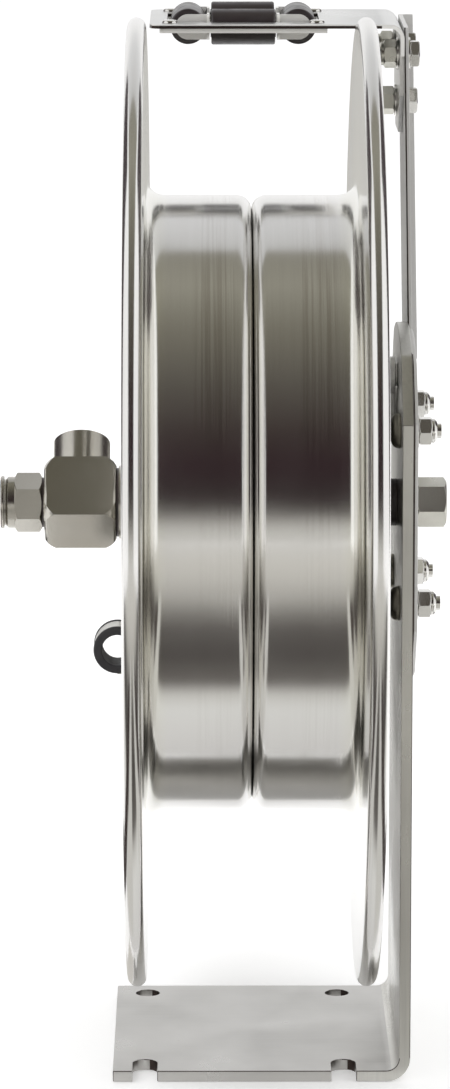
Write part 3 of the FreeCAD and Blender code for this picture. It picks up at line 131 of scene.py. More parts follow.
def only(piece):
    """Leave one object selected and active, in object mode."""
    if bpy.context.object and bpy.context.object.mode != "OBJECT":
        bpy.ops.object.mode_set(mode="OBJECT")
    bpy.ops.object.select_all(action="DESELECT")
    if piece:
        piece.select_set(True)
        bpy.context.view_layer.objects.active = piece


def edit(piece):
    only(piece)
    bpy.ops.object.mode_set(mode="EDIT")
    bpy.ops.mesh.select_mode(type="VERT")
    bpy.ops.mesh.select_all(action="SELECT")


def apply_place(piece):
    only(piece)
    bpy.ops.object.transform_apply(location=True, rotation=True, scale=True)


def modify(piece, kind, **settings):
    """Add a modifier with these settings and apply it."""
    only(piece)
    bpy.ops.object.modifier_add(type=kind)
    modifier = piece.modifiers[-1]
    for key, setting in settings.items():
        setattr(modifier, key, setting)
    bpy.ops.object.modifier_apply(modifier=modifier.name)


def soften(piece, width, angle=35, smooth=SMOOTH):
    """Break the sharp edges by a bevel of this many millimetres and shade the rest smooth."""
    modify(
        piece, "BEVEL", width=width * MM, segments=2, limit_method="ANGLE",
        angle_limit=math.radians(angle), use_clamp_overlap=True, miter_outer="MITER_ARC",
    )
    only(piece)
    bpy.ops.object.shade_smooth_by_angle(angle=math.radians(smooth))
    modify(piece, "WEIGHTED_NORMAL", keep_sharp=True)


def bevel_where(piece, test, offset, segments):
    """Bevel the edges whose two ends pass the test."""
    edit(piece)
    bpy.ops.mesh.select_mode(type="EDGE")
    bpy.ops.mesh.select_all(action="DESELECT")
    bpy.ops.object.mode_set(mode="OBJECT")
    for edge in piece.data.edges:
        edge.select = test(*(piece.data.vertices[i].co for i in edge.vertices))
    bpy.ops.object.mode_set(mode="EDIT")
    bpy.ops.mesh.bevel(offset=offset, segments=segments, affect="EDGES")
    bpy.ops.object.mode_set(mode="OBJECT")


def boolean(piece, operation, tool):
    """Join or cut the piece by a tool, which is used up."""
    modify(piece, "BOOLEAN", operation=operation, solver="EXACT", object=tool)
    bpy.data.objects.remove(tool)


def split(piece, *planes):
    """Cut the faces of a piece along planes, each a point and a normal."""
    edit(piece)
    for point, way in planes:
        bpy.ops.mesh.select_all(action="SELECT")
        bpy.ops.mesh.bisect(plane_co=point, plane_no=way)
    bpy.ops.object.mode_set(mode="OBJECT")


def named(piece, name):
    piece.name = name
    piece.data.name = name
    return piece


def worked_copy(node, name, width):
    """A copy of a CAD node with its triangles merged and its edges broken."""
    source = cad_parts[node]
    piece = source.copy()
    piece.data = source.data.copy()
    piece.parent = None
    for key in list(piece.keys()):
        del piece[key]
    bpy.context.scene.collection.objects.link(piece)
    named(piece, name)
    only(piece)
    bpy.ops.mesh.customdata_custom_splitnormals_clear()
    edit(piece)
    bpy.ops.mesh.remove_doubles(threshold=MERGE)
    bpy.ops.mesh.dissolve_limited(angle_limit=math.radians(FLAT))
    bpy.ops.object.mode_set(mode="OBJECT")
    soften(piece, width)
    return piece


def fit(piece, material, body, slot, *nodes):
    """Give the piece its material and body, and let it stand for its CAD nodes; the slot is not used."""
    piece.data.materials.clear()
    piece.data.materials.append(material)
    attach(piece, body)
    if nodes:
        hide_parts(*nodes)


def finish_where(piece, material, test):
    """Give the faces whose middle and normal pass the test one more finish."""
    piece.data.materials.append(material)
    only(piece)
    bpy.ops.object.mode_set(mode="EDIT")
    bpy.ops.mesh.select_mode(type="FACE")
    bpy.ops.mesh.select_all(action="DESELECT")
    bpy.ops.object.mode_set(mode="OBJECT")
    for face in piece.data.polygons:
        face.select = test(face.center, face.normal)
    piece.active_material_index = len(piece.data.materials) - 1
    bpy.ops.object.mode_set(mode="EDIT")
    bpy.ops.object.material_slot_assign()
    bpy.ops.object.mode_set(mode="OBJECT")


def arc(middle, radius, start, end, steps):
    """Points on an arc, in degrees from the first axis."""
    points = []
    for i in range(steps + 1):
        turn = math.radians(start + (end - start) * i / steps)
        points.append((middle[0] + radius * math.cos(turn), middle[1] + radius * math.sin(turn)))
    return points


def turned(name, outline, middle, axis, steps):
    """Draw a closed outline of distance along the axis and radius, then spin it round."""
    along = Vector(axis)
    out = Vector((0, 0, 1))
    spots = [Vector(middle) + along * a + out * r for a, r in outline]
    only(None)
    bpy.ops.mesh.primitive_plane_add(size=0.01, location=(0, 0, 0))
    piece = named(bpy.context.object, name)
    edit(piece)
    bpy.ops.mesh.merge(type="COLLAPSE")
    bpy.ops.transform.translate(value=spots[0])
    for start, end in zip(spots, spots[1:] + spots[:1]):
        bpy.ops.mesh.extrude_vertices_move(TRANSFORM_OT_translate={"value": end - start})
    bpy.ops.mesh.select_all(action="SELECT")
    bpy.ops.mesh.remove_doubles(threshold=MERGE)
    bpy.ops.mesh.select_all(action="SELECT")
    bpy.ops.mesh.spin(steps=steps, angle=2 * math.pi, center=middle, axis=axis)
    bpy.ops.mesh.select_all(action="SELECT")
    bpy.ops.mesh.remove_doubles(threshold=MERGE)
    bpy.ops.mesh.normals_make_consistent(inside=False)
    bpy.ops.object.mode_set(mode="OBJECT")
    bpy.ops.object.shade_smooth_by_angle(angle=math.radians(SMOOTH))
    return piece


# Shader nodes


FLOAT, VECTOR = "NodeSocketFloat", "NodeSocketVector"
LIFT = 0.0002  # height of the lines and pores
SMUDGE_SHARE = 0.2  # share of the lines' roughness that smudges add
LINE_BANDS = (-0.0155, 0.0275)  # middles of the two bands of dark lines, turning marks and painted reflection streaks, along the axle
LINE_BAND_HALF = 0.0095  # half width of such a band
LINE_STRENGTH = 0.42  # share of the line colour where a line is darkest
OUTSIDE_BANDS = 0.12  # share of the lines that is left outside the two bands


def put(tree, kind, inputs=None, **settings):
    """Add a node, set it, and link or fill its inputs."""
    made = tree.nodes.new(kind)
    for key, setting in settings.items():
        setattr(made, key, setting)
    for key, source in (inputs or {}).items():
        if isinstance(source, bpy.types.NodeSocket):
            tree.links.new(source, made.inputs[key])
        else:
            made.inputs[key].default_value = source
    return made


def math_node(tree, operation, a, b=0.0, c=0.0, clamp=False):
    return put(tree, "ShaderNodeMath", {0: a, 1: b, 2: c}, operation=operation, use_clamp=clamp).outputs[0]


def noise_node(tree, spot, scale, detail, roughness=0.5):
    """The plain value of a noise texture."""
    inputs = {"Vector": spot, "Scale": scale, "Detail": detail, "Roughness": roughness}
    return put(tree, "ShaderNodeTexNoise", inputs).outputs[0]


def lift_node(tree, height, strength):
    """The normal that fine lines or pores give."""
    inputs = {"Height": height, "Strength": strength, "Distance": LIFT}
    return put(tree, "ShaderNodeBump", inputs).outputs[0]


def times(tree, a, b):
    return math_node(tree, "MULTIPLY", a, b)


def stretched(tree, spot, factors):
    """The place, multiplied by a factor on each axis."""
    return put(tree, "ShaderNodeVectorMath", {0: spot, 1: factors}, operation="MULTIPLY").outputs[0]


def colour_mix(tree, mask, first, second):
    """The first colour where the mask is 0, the second where it is 1."""
    return put(tree, "ShaderNodeMix", {"Factor": mask, 6: first, 7: second}, data_type="RGBA").outputs[2]


def axle_distance(tree, y, up):
    """Distance from the axle's line."""
    return math_node(tree, "SQRT", math_node(tree, "ADD", times(tree, y, y), times(tree, up, up)))


def remap(tree, source, low, high, new_low, new_high):
    made = put(
        tree, "ShaderNodeMapRange",
        {"Value": source, "From Min": low, "From Max": high, "To Min": new_low, "To Max": new_high},
    )
    return made.outputs["Result"]


def new_group(name, inputs, outputs):
    tree = bpy.data.node_groups.new(name, "ShaderNodeTree")
    for label, kind, default in inputs:
        socket = tree.interface.new_socket(label, in_out="INPUT", socket_type=kind)
        if default is not None:
            socket.default_value = default
    for label, kind in outputs:
        tree.interface.new_socket(label, in_out="OUTPUT", socket_type=kind)
    return tree, tree.nodes.new("NodeGroupInput"), tree.nodes.new("NodeGroupOutput")


def lines_and_lift(tree, lines, start, end):
    """Hand the lines on, and the normal that they give at the group's depth."""
    tree.links.new(lines, end.inputs["Lines"])
    tree.links.new(lift_node(tree, lines, start.outputs["Depth"]), end.inputs["Normal"])


def turned_grain_group():
    """Fine lines round the axle: along the drum by X, across the discs by radius."""
    tree, start, end = new_group(
        "Turned grain",
        [
            ("Vector", VECTOR, None), ("Axle height", FLOAT, 0.241), ("Lines", FLOAT, 900.0),
            ("Depth", FLOAT, 0.1),
        ],
        [("Lines", FLOAT), ("Normal", VECTOR)],
    )
    apart = put(tree, "ShaderNodeSeparateXYZ", {0: start.outputs["Vector"]})
    up = math_node(tree, "SUBTRACT", apart.outputs["Z"], start.outputs["Axle height"])
    radius = axle_distance(tree, apart.outputs["Y"], up)
    across = math_node(tree, "ADD", math_node(tree, "ABSOLUTE", apart.outputs["X"]), radius)
    across = times(tree, across, start.outputs["Lines"])
    round_y = math_node(tree, "DIVIDE", apart.outputs["Y"], radius)
    round_z = math_node(tree, "DIVIDE", up, radius)
    spot = put(tree, "ShaderNodeCombineXYZ", {"X": across, "Y": round_y, "Z": round_z}).outputs[0]
    lines_and_lift(tree, noise_node(tree, spot, 1.0, 3.0, roughness=0.6), start, end)


def straight_grain_group():
    """Brushed lines along the direction in which Stretch is small."""
    tree, start, end = new_group(
        "Straight grain",
        [("Vector", VECTOR, None), ("Stretch", VECTOR, (900, 900, 12)), ("Depth", FLOAT, 0.1)],
        [("Lines", FLOAT), ("Normal", VECTOR)],
    )
    spot = stretched(tree, start.outputs["Vector"], start.outputs["Stretch"])
    lines_and_lift(tree, noise_node(tree, spot, 1.0, 4.0, roughness=0.65), start, end)


def handling_group():
    """Soft clouds and small smudges, as hands and cloths leave on metal."""
    tree, start, end = new_group(
        "Handling marks",
        [("Vector", VECTOR, None), ("Cloud size", FLOAT, 9.0), ("Smudge size", FLOAT, 60.0)],
        [("Clouds", FLOAT), ("Smudges", FLOAT)],
    )
    clouds = noise_node(tree, start.outputs["Vector"], start.outputs["Cloud size"], 3.0)
    smudges = noise_node(tree, start.outputs["Vector"], start.outputs["Smudge size"], 2.0)
    tree.links.new(remap(tree, clouds, 0.35, 0.65, 0.0, 1.0), end.inputs["Clouds"])
    tree.links.new(remap(tree, smudges, 0.45, 0.7, 0.0, 1.0), end.inputs["Smudges"])


def group_node(tree, name, inputs):
    return put(tree, "ShaderNodeGroup", inputs, node_tree=bpy.data.node_groups[name])


def new_material(name):
    material = bpy.data.materials.new(name)
    material.use_nodes = True
    tree = material.node_tree
    shader = tree.nodes["Principled BSDF"]
    spot = tree.nodes.new("ShaderNodeTexCoord").outputs["Object"]
    return material, tree, shader, spot


def tinted(tree, colour, mask, share):
    """The colour, darkened by up to the share where the mask is 1."""
    dark = tuple(c * (1 - share) for c in colour) + (1,)
    return colour_mix(tree, mask, tuple(colour) + (1,), dark)


def metal(
    name, colour, roughness, spread, grain, depth,
    stretch=(900, 900, 12), lines=900.0, tint=0.12, clouds=9.0, metallic=1.0,
):
    """Brushed or turned metal: lines in its bump, clouds and smudges in its gloss and colour."""
    material, tree, shader, spot = new_material(name)
    shader.inputs["Metallic"].default_value = metallic
    if grain == "Turned grain":
        brushed = group_node(tree, grain, {"Vector": spot, "Lines": lines, "Depth": depth})
    else:
        brushed = group_node(tree, grain, {"Vector": spot, "Stretch": stretch, "Depth": depth})
    marks = group_node(tree, "Handling marks", {"Vector": spot, "Cloud size": clouds})
    streak = times(tree, brushed.outputs["Lines"], marks.outputs["Clouds"])
    rough = math_node(tree, "MULTIPLY_ADD", streak, spread, roughness)
    rough = math_node(tree, "MULTIPLY_ADD", marks.outputs["Smudges"], spread * SMUDGE_SHARE, rough)
    tree.links.new(rough, shader.inputs["Roughness"])
    tree.links.new(tinted(tree, colour, streak, tint), shader.inputs["Base Color"])
    tree.links.new(brushed.outputs["Normal"], shader.inputs["Normal"])
    return material


def band(tree, along, middle, half):
    """1 at the middle of a band, 0 past its half width."""
    apart = math_node(tree, "ABSOLUTE", math_node(tree, "SUBTRACT", along, middle))
    return remap(tree, apart, half * 0.5, half, 1.0, 0.0)


def mark_drum(material, line_and_streak_colour, fillet_reflection_colour, axle_height):
    """Dark lines in two bands of the drum's upper half, partly turning marks and partly painted reflection streaks,
    and a painted reflection tint on its fillets.
    """
    tree = material.node_tree
    shader = tree.nodes["Principled BSDF"]
    plain = shader.inputs["Base Color"].links[0].from_socket
    spot = tree.nodes.new("ShaderNodeTexCoord").outputs["Object"]
    apart = put(tree, "ShaderNodeSeparateXYZ", {0: spot})
    along = apart.outputs["X"]
    noise = noise_node(tree, stretched(tree, spot, (760.0, 7.0, 7.0)), 1.0, 2.5, roughness=0.7)
    lines = remap(tree, noise, 0.44, 0.60, 0.0, 1.0)
    left, right = (band(tree, along, middle, LINE_BAND_HALF) for middle in LINE_BANDS)
    both = math_node(tree, "ADD", math_node(tree, "ADD", left, right), OUTSIDE_BANDS, clamp=True)
    # Painted reflection streaks: the lines are faint under the axle and strongest in the drum's upper half.
    rise = math_node(tree, "SUBTRACT", apart.outputs["Z"], axle_height)
    fade_in = remap(tree, rise, 0.005, 0.06, 0.12, 1.0)
    fade_out = remap(tree, rise, 0.108, 0.122, 1.0, 0.25)
    share = times(tree, times(tree, lines, both), times(tree, fade_in, fade_out))
    lined = colour_mix(tree, times(tree, share, LINE_STRENGTH), plain, (*line_and_streak_colour, 1))
    # Painted reflection tint on the fillets, between the barrel and the inner face of each disc.
    side = math_node(tree, "ABSOLUTE", along)
    past_barrel = remap(tree, side, 0.0355, 0.0405, 0.0, 1.0)
    in_channel = remap(tree, side, 0.0456, 0.0464, 1.0, 0.0)
    near = remap(tree, axle_distance(tree, apart.outputs["Y"], rise), 0.150, 0.172, 1.0, 0.0)
    warm = times(tree, times(tree, past_barrel, in_channel), near)
    tree.links.new(colour_mix(tree, warm, lined, (*fillet_reflection_colour, 1)), shader.inputs["Base Color"])


def moulded(name, colour, roughness, bump, scale, sheen=0.0, specular=0.5):
    """Plastic or rubber with a fine moulded or turned surface."""
    material, tree, shader, spot = new_material(name)
    marks = group_node(tree, "Handling marks", {"Vector": spot, "Cloud size": 30.0, "Smudge size": 220.0})
    rough = remap(tree, marks.outputs["Smudges"], 0, 1, roughness, roughness + 0.16)
    tree.links.new(rough, shader.inputs["Roughness"])
    tree.links.new(tinted(tree, colour, marks.outputs["Clouds"], 0.3), shader.inputs["Base Color"])
    tree.links.new(lift_node(tree, noise_node(tree, spot, scale, 4.0), bump), shader.inputs["Normal"])
    shader.inputs["Sheen Weight"].default_value = sheen
    shader.inputs["Specular IOR Level"].default_value = specular
    return material


def material_of(name):
    return bpy.data.materials[name]


class REEL_OT_materials(bpy.types.Operator):
    """Build the node groups and the materials of every finish on the reel"""
    bl_idname = "reel.materials"
    bl_label = "Materials"

    def execute(self, context):
        hues = context.scene.reel_colours
        turned_grain_group()
        straight_grain_group()
        handling_group()
        spun = metal("Spun stainless", hues.drum, 0.13, 0.12, "Turned grain", 0.10, lines=1400.0, clouds=7.0)
        mark_drum(spun, hues.line, hues.fillet, context.scene.reel_sizes.axle_height)
        metal("Satin sheet", hues.stand, 0.24, 0.16, "Straight grain", 0.17, stretch=(620, 700, 14), tint=0.30)
        metal("Foot sheet", hues.foot, 0.27, 0.14, "Straight grain", 0.12, stretch=(11, 1700, 1700), clouds=22.0)
        metal("Arm sheet", hues.arm, 0.36, 0.12, "Straight grain", 0.14, stretch=(900, 900, 14), metallic=0.45)
        # Dark finish: cut sheet edges, and painted shadow in the gaps between parts.
        metal("Cut edge and gap shade", hues.cut, 0.42, 0.14, "Straight grain", 0.20, stretch=(900, 900, 900))
        # Pale finish: the cage and latch, and painted highlight on the bracket's front edges.
        metal("Pale sheet and painted highlight", hues.lip, 0.26, 0.10, "Straight grain", 0.05, stretch=(13, 2600, 2600), metallic=0.35)
        metal("Bracket sheet", hues.bracket, 0.25, 0.12, "Straight grain", 0.08, stretch=(13, 2600, 2600))
        metal("Nut steel", hues.nut, 0.27, 0.12, "Straight grain", 0.08, stretch=(1500, 200, 200), clouds=60.0)
        metal("Dome steel", hues.dome, 0.34, 0.12, "Straight grain", 0.10, stretch=(300, 900, 900), clouds=60.0)
        metal("Bright steel", hues.bright, 0.13, 0.12, "Straight grain", 0.08, stretch=(1500, 200, 200), clouds=60.0)
        metal("Swivel steel", hues.swivel, 0.17, 0.12, "Straight grain", 0.10, stretch=(900, 500, 500), clouds=35.0)
        metal("Dull sheet", hues.case, 0.34, 0.14, "Turned grain", 0.14, lines=1200.0)
        metal("Bearing bronze", hues.bronze, 0.36, 0.12, "Turned grain", 0.2, lines=1600.0)
        moulded("Roller nylon", hues.roller, 0.30, 0.10, 700.0, specular=0.85)
        moulded("Bush nylon", hues.bush, 0.36, 0.12, 800.0, specular=0.7)
        moulded("Clamp rubber", hues.rubber, 0.58, 0.22, 1100.0, sheen=0.08)
        return {"FINISHED"}


# Pieces


WEB_HOLE = 0.0201  # radius of the hole in each half's bottom, over the hub
SLOT_BEHIND, SLOT_DROP = 0.124, 0.042  # the hose slot's middle, behind and under the axle
ROLLER_BORE, ROLLER_EDGE, ROLLER_STEP = 0.00205, 0.0009, 0.0003  # the step is that of a roller's end
CLAMP_EDGE, CLAMP_BREAK = 0.0009, 0.0004  # round outer edges and broken inner edges of the cushion
CLAMP_SEAT_HALF = 0.0068  # half width of the steel band's seat in the cushion


class REEL_OT_drum(bpy.types.Operator):
    """Spin the two halves of the drum, with rolled rims and the hose slot"""
    bl_idname = "reel.drum"
    bl_label = "Drum halves"

    def execute(self, context):
        size = context.scene.reel_sizes
        wall, corner, fillet = size.spun_wall, size.seam_corner, size.web_fillet
        drum, half = size.drum_radius, size.channel_half_width
        bead = size.rim_bead / 2
        rim = size.disc_radius - bead
        back = half + wall
        bead_end = math.degrees(math.acos((half + bead - back) / bead))
        outline = [(0, WEB_HOLE)]
        outline += arc((corner, drum - corner), corner, 180, 90, 7)
        outline += arc((half - fillet, drum + fillet), fillet, -90, 0, 8)
        outline += arc((half + bead, rim), bead, 180, bead_end - 180, 26)
        outline += arc((half - fillet, drum + fillet), fillet + wall, 0, -90, 8)
        outline += arc((corner, drum - corner), corner - wall, 90, 180, 5)
        outline += [(wall, WEB_HOLE)]
        middle = (0, 0, size.axle_height)
        for name, side, node in (
            ("drum_right", 1, "drum_half_spring"),
            ("drum_left", -1, "drum_half_inlet"),
        ):
            piece = turned(name, [(side * a, r) for a, r in outline], middle, (1, 0, 0), size.round_steps)
            if side < 0:
                cut_slot(piece, size)
            fit(piece, material_of("Spun stainless"), "drum", "drum_steel", node)
        return {"FINISHED"}


def cut_slot(piece, size):
    """Cut the rounded hose slot through the drum's wall at the back."""
    place = (-size.channel_half_width / 2, SLOT_BEHIND, size.axle_height - SLOT_DROP)
    only(None)
    bpy.ops.mesh.primitive_cube_add(size=1, location=place, scale=(size.slot_width, 0.04, size.slot_height))
    cutter = named(bpy.context.object, "slot_cutter")
    apply_place(cutter)
    bevel_where(
        cutter, lambda a, b: abs(a.x - b.x) < LEVEL and abs(a.z - b.z) < LEVEL, size.slot_width / 2 * 0.998, 12,
    )
    boolean(piece, "DIFFERENCE", cutter)
    only(piece)
    bpy.ops.object.shade_smooth_by_angle(angle=math.radians(SMOOTH))


class REEL_OT_rollers(bpy.types.Operator):
    """Turn the four guide rollers with their rounded ends and bores"""
    bl_idname = "reel.rollers"
    bl_label = "Guide rollers"

    def execute(self, context):
        radius = context.scene.reel_sizes.roller_radius
        for node in ("roller_front", "roller_rear", "roller_left", "roller_right"):
            low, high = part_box(node)
            middle = (low + high) / 2
            along_x = high.x - low.x > high.y - low.y
            axis = (1, 0, 0) if along_x else (0, 1, 0)
            half = (high.x - low.x) / 2 if along_x else (high.y - low.y) / 2
            edge, step = ROLLER_EDGE, ROLLER_STEP
            outline = [(-half, ROLLER_BORE), (half, ROLLER_BORE), (half, 0.0045), (half - step, 0.0047)]
            outline += [(half - step, radius - 0.0016)]
            outline += arc((half - edge - step, radius - edge), edge, 0, 90, 4)
            outline += arc((edge + step - half, radius - edge), edge, 90, 180, 4)
            outline += [(step - half, radius - 0.0016), (step - half, 0.0047), (-half, 0.0045)]
            piece = turned(node + "_nylon", outline, middle, axis, 64)
            fit(piece, material_of("Roller nylon"), node, "roller_plastic", node)
        return {"FINISHED"}


class REEL_OT_hose_clamp(bpy.types.Operator):
    """Shape the hose clamp: a rubber channel with lips round a steel band"""
    bl_idname = "reel.hose_clamp"
    bl_label = "Hose clamp"

    def execute(self, context):
        low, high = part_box("hose_clamp_cushion")
        middle = (low + high) / 2
        hole = context.scene.reel_sizes.clamp_hole
        seat = hole + 0.0022
        lip = seat + 0.00145
        half = (high.y - low.y) / 2
        edge, broken, bed = CLAMP_EDGE, CLAMP_BREAK, CLAMP_SEAT_HALF
        outline = [(-half + broken, hole), (half - broken, hole), (half, hole + broken)]
        outline += arc((half - edge, lip - edge), edge, 0, 90, 4)
        outline += [(0.0073, lip), (bed, lip - 0.0005), (bed, seat), (-bed, seat)]
        outline += [(-bed, lip - 0.0005), (-0.0073, lip)]
        outline += arc((edge - half, lip - edge), edge, 90, 180, 4)
        outline += [(-half, hole + broken)]
        cushion = turned("clamp_cushion_lipped", outline, middle, (0, 1, 0), 72)
        fit(cushion, material_of("Clamp rubber"), "drum", "rubber", "hose_clamp_cushion")
        strap = worked_copy("hose_clamp_band", "clamp_band_formed", 0.2)
        fit(strap, material_of("Satin sheet"), "drum", "bright_steel", "hose_clamp_band")
        return {"FINISHED"}


def finish_copies(rows):
    """Work a copy of each node named in the rows and fit it."""
    made = {}
    for node, width, material, body, slot in rows:
        made[node] = worked_copy(node, node + "_worked", width)
        fit(made[node], material_of(material), body, slot, node)
    return made


FOOT_TOP, FOOT_END = 0.0052, 0.061  # the foot's finish reaches this high, and this far along X
OUTER_DARK_FROM = 0.02  # the post's outer broken edge carries painted shadow of its gap to the arm above this height
INNER_DARK_TO = 0.12  # the inner broken edge of foot and post is dark up to this height
ARM_EDGE = 0.0687  # along X, parts the painted gap shadow on the arm's edge from the pale part
BRACKET_EDGE = (0.4411, 0.4425)  # lowest and highest line of the bracket's dark edge strip: cut edge and painted contact shadow over the cage
BRACKET_BEND = 0.058  # where the bracket's bend starts, along X
DOME_END = 0.0633  # where the domes of the carriage bolts end, along X


def dark_on_post(at, way):
    """The broken edges of the post's and the foot's front, darkened; on the post's outer edge this is painted shadow
    of the gap to the arm.
    """
    if way.y >= -0.3:
        return False
    return way.x > 0.3 and at.z > OUTER_DARK_FROM or way.z - way.x > 0.3 and at.z < INNER_DARK_TO


def dark_on_bracket(at, way):
    """A strip of the bracket's front and rear edges, cut edge and painted contact shadow over the cage, and the
    broken edge of its tongue, painted shadow of the gap to the arm.
    """
    low, high = BRACKET_EDGE
    return abs(way.y) > 0.5 and low < at.z < high and at.x < 0.06 or way.x > 0.3 and way.y < -0.3


def highlight_on_bracket(at, way):
    """Painted highlight on the tongue's front edge, and on the front edge over the dark strip."""
    return way.y < -0.8 and at.x > BRACKET_BEND or way.y < -0.3 and at.z > BRACKET_EDGE[1] and at.x < 0.04


class REEL_OT_stand(bpy.types.Operator):
    """Work the stand's sheet pieces: post and foot, guide arm, bracket and cage"""
    bl_idname = "reel.stand"
    bl_label = "Stand sheets"

    def execute(self, context):
        made = finish_copies([
            ("pedestal", 0.5, "Satin sheet", "stand", "stand_steel"),
            ("guide_arm", 0.35, "Arm sheet", "stand", "stand_steel"),
            ("roller_bracket", 0.25, "Bracket sheet", "stand", "stand_steel"),
            ("roller_cage", 0.18, "Pale sheet and painted highlight", "stand", "stand_steel"),
            ("pawl", 0.25, "Pale sheet and painted highlight", "pawl", "stand_steel"),
        ])
        post = made["pedestal"]
        finish_where(post, material_of("Foot sheet"), lambda at, way: at.z < FOOT_TOP and at.x < FOOT_END)
        # Painted shadow of the gap between post and arm, as a dark finish on the post's outer broken edge.
        finish_where(post, material_of("Cut edge and gap shade"), dark_on_post)
        arm = made["guide_arm"]
        # Painted shadow of the gap to the post: the inner strip of the arm's front edge takes the dark finish.
        split(arm, ((ARM_EDGE, 0, 0), (1, 0, 0)))
        finish_where(arm, material_of("Cut edge and gap shade"), lambda at, way: way.y < -0.3 and at.x < ARM_EDGE)
        bracket = made["roller_bracket"]
        low, high = BRACKET_EDGE
        split(bracket, ((0, 0, high), (0, 0, 1)), ((0, 0, low), (0, 0, 1)), ((BRACKET_BEND, 0, 0), (1, 0, 0)))
        # Dark strip on the bracket's edges: cut edge, and painted shadow of the gaps to the cage and the arm.
        finish_where(bracket, material_of("Cut edge and gap shade"), dark_on_bracket)
        # Painted highlight: a pale strip along the bracket's front edges.
        finish_where(bracket, material_of("Pale sheet and painted highlight"), highlight_on_bracket)
        return {"FINISHED"}


class REEL_OT_fasteners(bpy.types.Operator):
    """Work the nuts, bolts, washers, pins and the axle's nut"""
    bl_idname = "reel.fasteners"
    bl_label = "Fasteners"

    def execute(self, context):
        bright = "Bright steel"
        stand = [
            ("arm_bolts", 0.2), ("arm_nuts", 0.22), ("arm_washers", 0.2), ("axle_nut", 0.4), ("axle_washer", 0.25),
            ("bracket_bolts", 0.22), ("bracket_nuts", 0.22), ("bracket_washers", 0.2), ("cage_rivets", 0.12),
            ("roller_pins", 0.15), ("pawl_pin", 0.2), ("axle", 0.2),
        ]
        drum = [
            ("tie_bolts", 0.2), ("cover_screws", 0.12), ("cover_nuts", 0.15), ("ratchet_screws", 0.12),
            ("bracket_screws", 0.12), ("bracket_screw_nuts", 0.15), ("clamp_screw", 0.18), ("clamp_nut", 0.15),
        ]
        made = finish_copies([(node, width, bright, "stand", "bright_steel") for node, width in stand])
        for node in ("axle_nut", "bracket_nuts"):
            made[node].data.materials[0] = material_of("Nut steel")
        finish_where(made["arm_bolts"], material_of("Dome steel"), lambda at, way: at.x < DOME_END)
        finish_copies([(node, width, bright, "drum", "bright_steel") for node, width in drum])
        return {"FINISHED"}


def rod(name, radius, start, end):
    """A round bar from start to end, before it is cut or joined."""
    way = Vector(end) - Vector(start)
    only(None)
    bpy.ops.mesh.primitive_cylinder_add(
        vertices=96, radius=radius, depth=way.length, location=(Vector(start) + Vector(end)) / 2,
        rotation=way.to_track_quat("Z", "Y").to_euler(),
    )
    bar = named(bpy.context.object, name)
    apply_place(bar)
    return bar


STEM_BORE, PORT_THREAD, PORT_PASSAGE = 0.0082, 0.0093, 0.0048  # radii inside the swivel block
PORT_DEPTH = 0.0135  # depth of the port's thread
SHELL_BORE = 0.004  # open middle of the turned shape that rounds the block's ends
HEXAGON_TURN = -5.5  # degrees, as the spindle stands in the photo


def swivel_body(size):
    """The square block with turned ends and its threaded port, which leans back."""
    outer, inner, half = -size.block_outer_face, -size.block_inner_face, size.block_side / 2
    middle = Vector((0, 0, size.axle_height))
    lean = math.radians(size.port_angle - 90)
    only(None)
    bpy.ops.mesh.primitive_cube_add(
        size=1, location=((outer + inner) / 2, 0, size.axle_height), rotation=(lean, 0, 0),
        scale=(inner - outer, half * 2, half * 2),
    )
    piece = named(bpy.context.object, "swivel_body")
    apply_place(piece)
    bevel_where(piece, lambda a, b: abs(a.x - b.x) < LEVEL, 0.0014, 2)
    ends = [(0, half + 0.0012), (0.0014, half + 0.0033), (0.0028, half + 0.0047), (0.0048, half + 0.0061)]
    outline = [(outer, SHELL_BORE)] + [(outer + a, r) for a, r in ends]
    outline += [(inner - a, r) for a, r in reversed(ends)] + [(inner, SHELL_BORE)]
    boolean(piece, "INTERSECT", turned("block_shell", outline, middle, (1, 0, 0), 128))
    start = middle + Vector((-size.port_place, 0, 0))
    up = Vector((0, -math.sin(lean), math.cos(lean)))
    top = start + up * size.port_reach
    boolean(piece, "UNION", rod("port_tube", size.port_size / 2, start + up * 0.002, top))
    past = 0.01
    bore_start, bore_end = Vector((outer - past, 0, 0)), Vector((inner + past, 0, 0))
    boolean(piece, "DIFFERENCE", rod("stem_bore", STEM_BORE, middle + bore_start, middle + bore_end))
    boolean(piece, "DIFFERENCE", rod("port_thread", PORT_THREAD, top - up * PORT_DEPTH, top + up * past))
    boolean(piece, "DIFFERENCE", rod("port_passage", PORT_PASSAGE, start, top))
    edit(piece)
    bpy.ops.mesh.remove_doubles(threshold=0.00001)
    bpy.ops.mesh.dissolve_limited(angle_limit=math.radians(FLAT))
    bpy.ops.object.mode_set(mode="OBJECT")
    soften(piece, 0.28, angle=28, smooth=30)
    return piece


def turn_hexagon(piece, degrees, middle):
    """Turn a finished piece round the axle's line."""
    turn = Matrix.Rotation(math.radians(degrees), 3, "X")
    piece.rotation_mode = "XYZ"
    piece.rotation_euler = (math.radians(degrees), 0, 0)
    piece.location = middle - turn @ middle
    apply_place(piece)


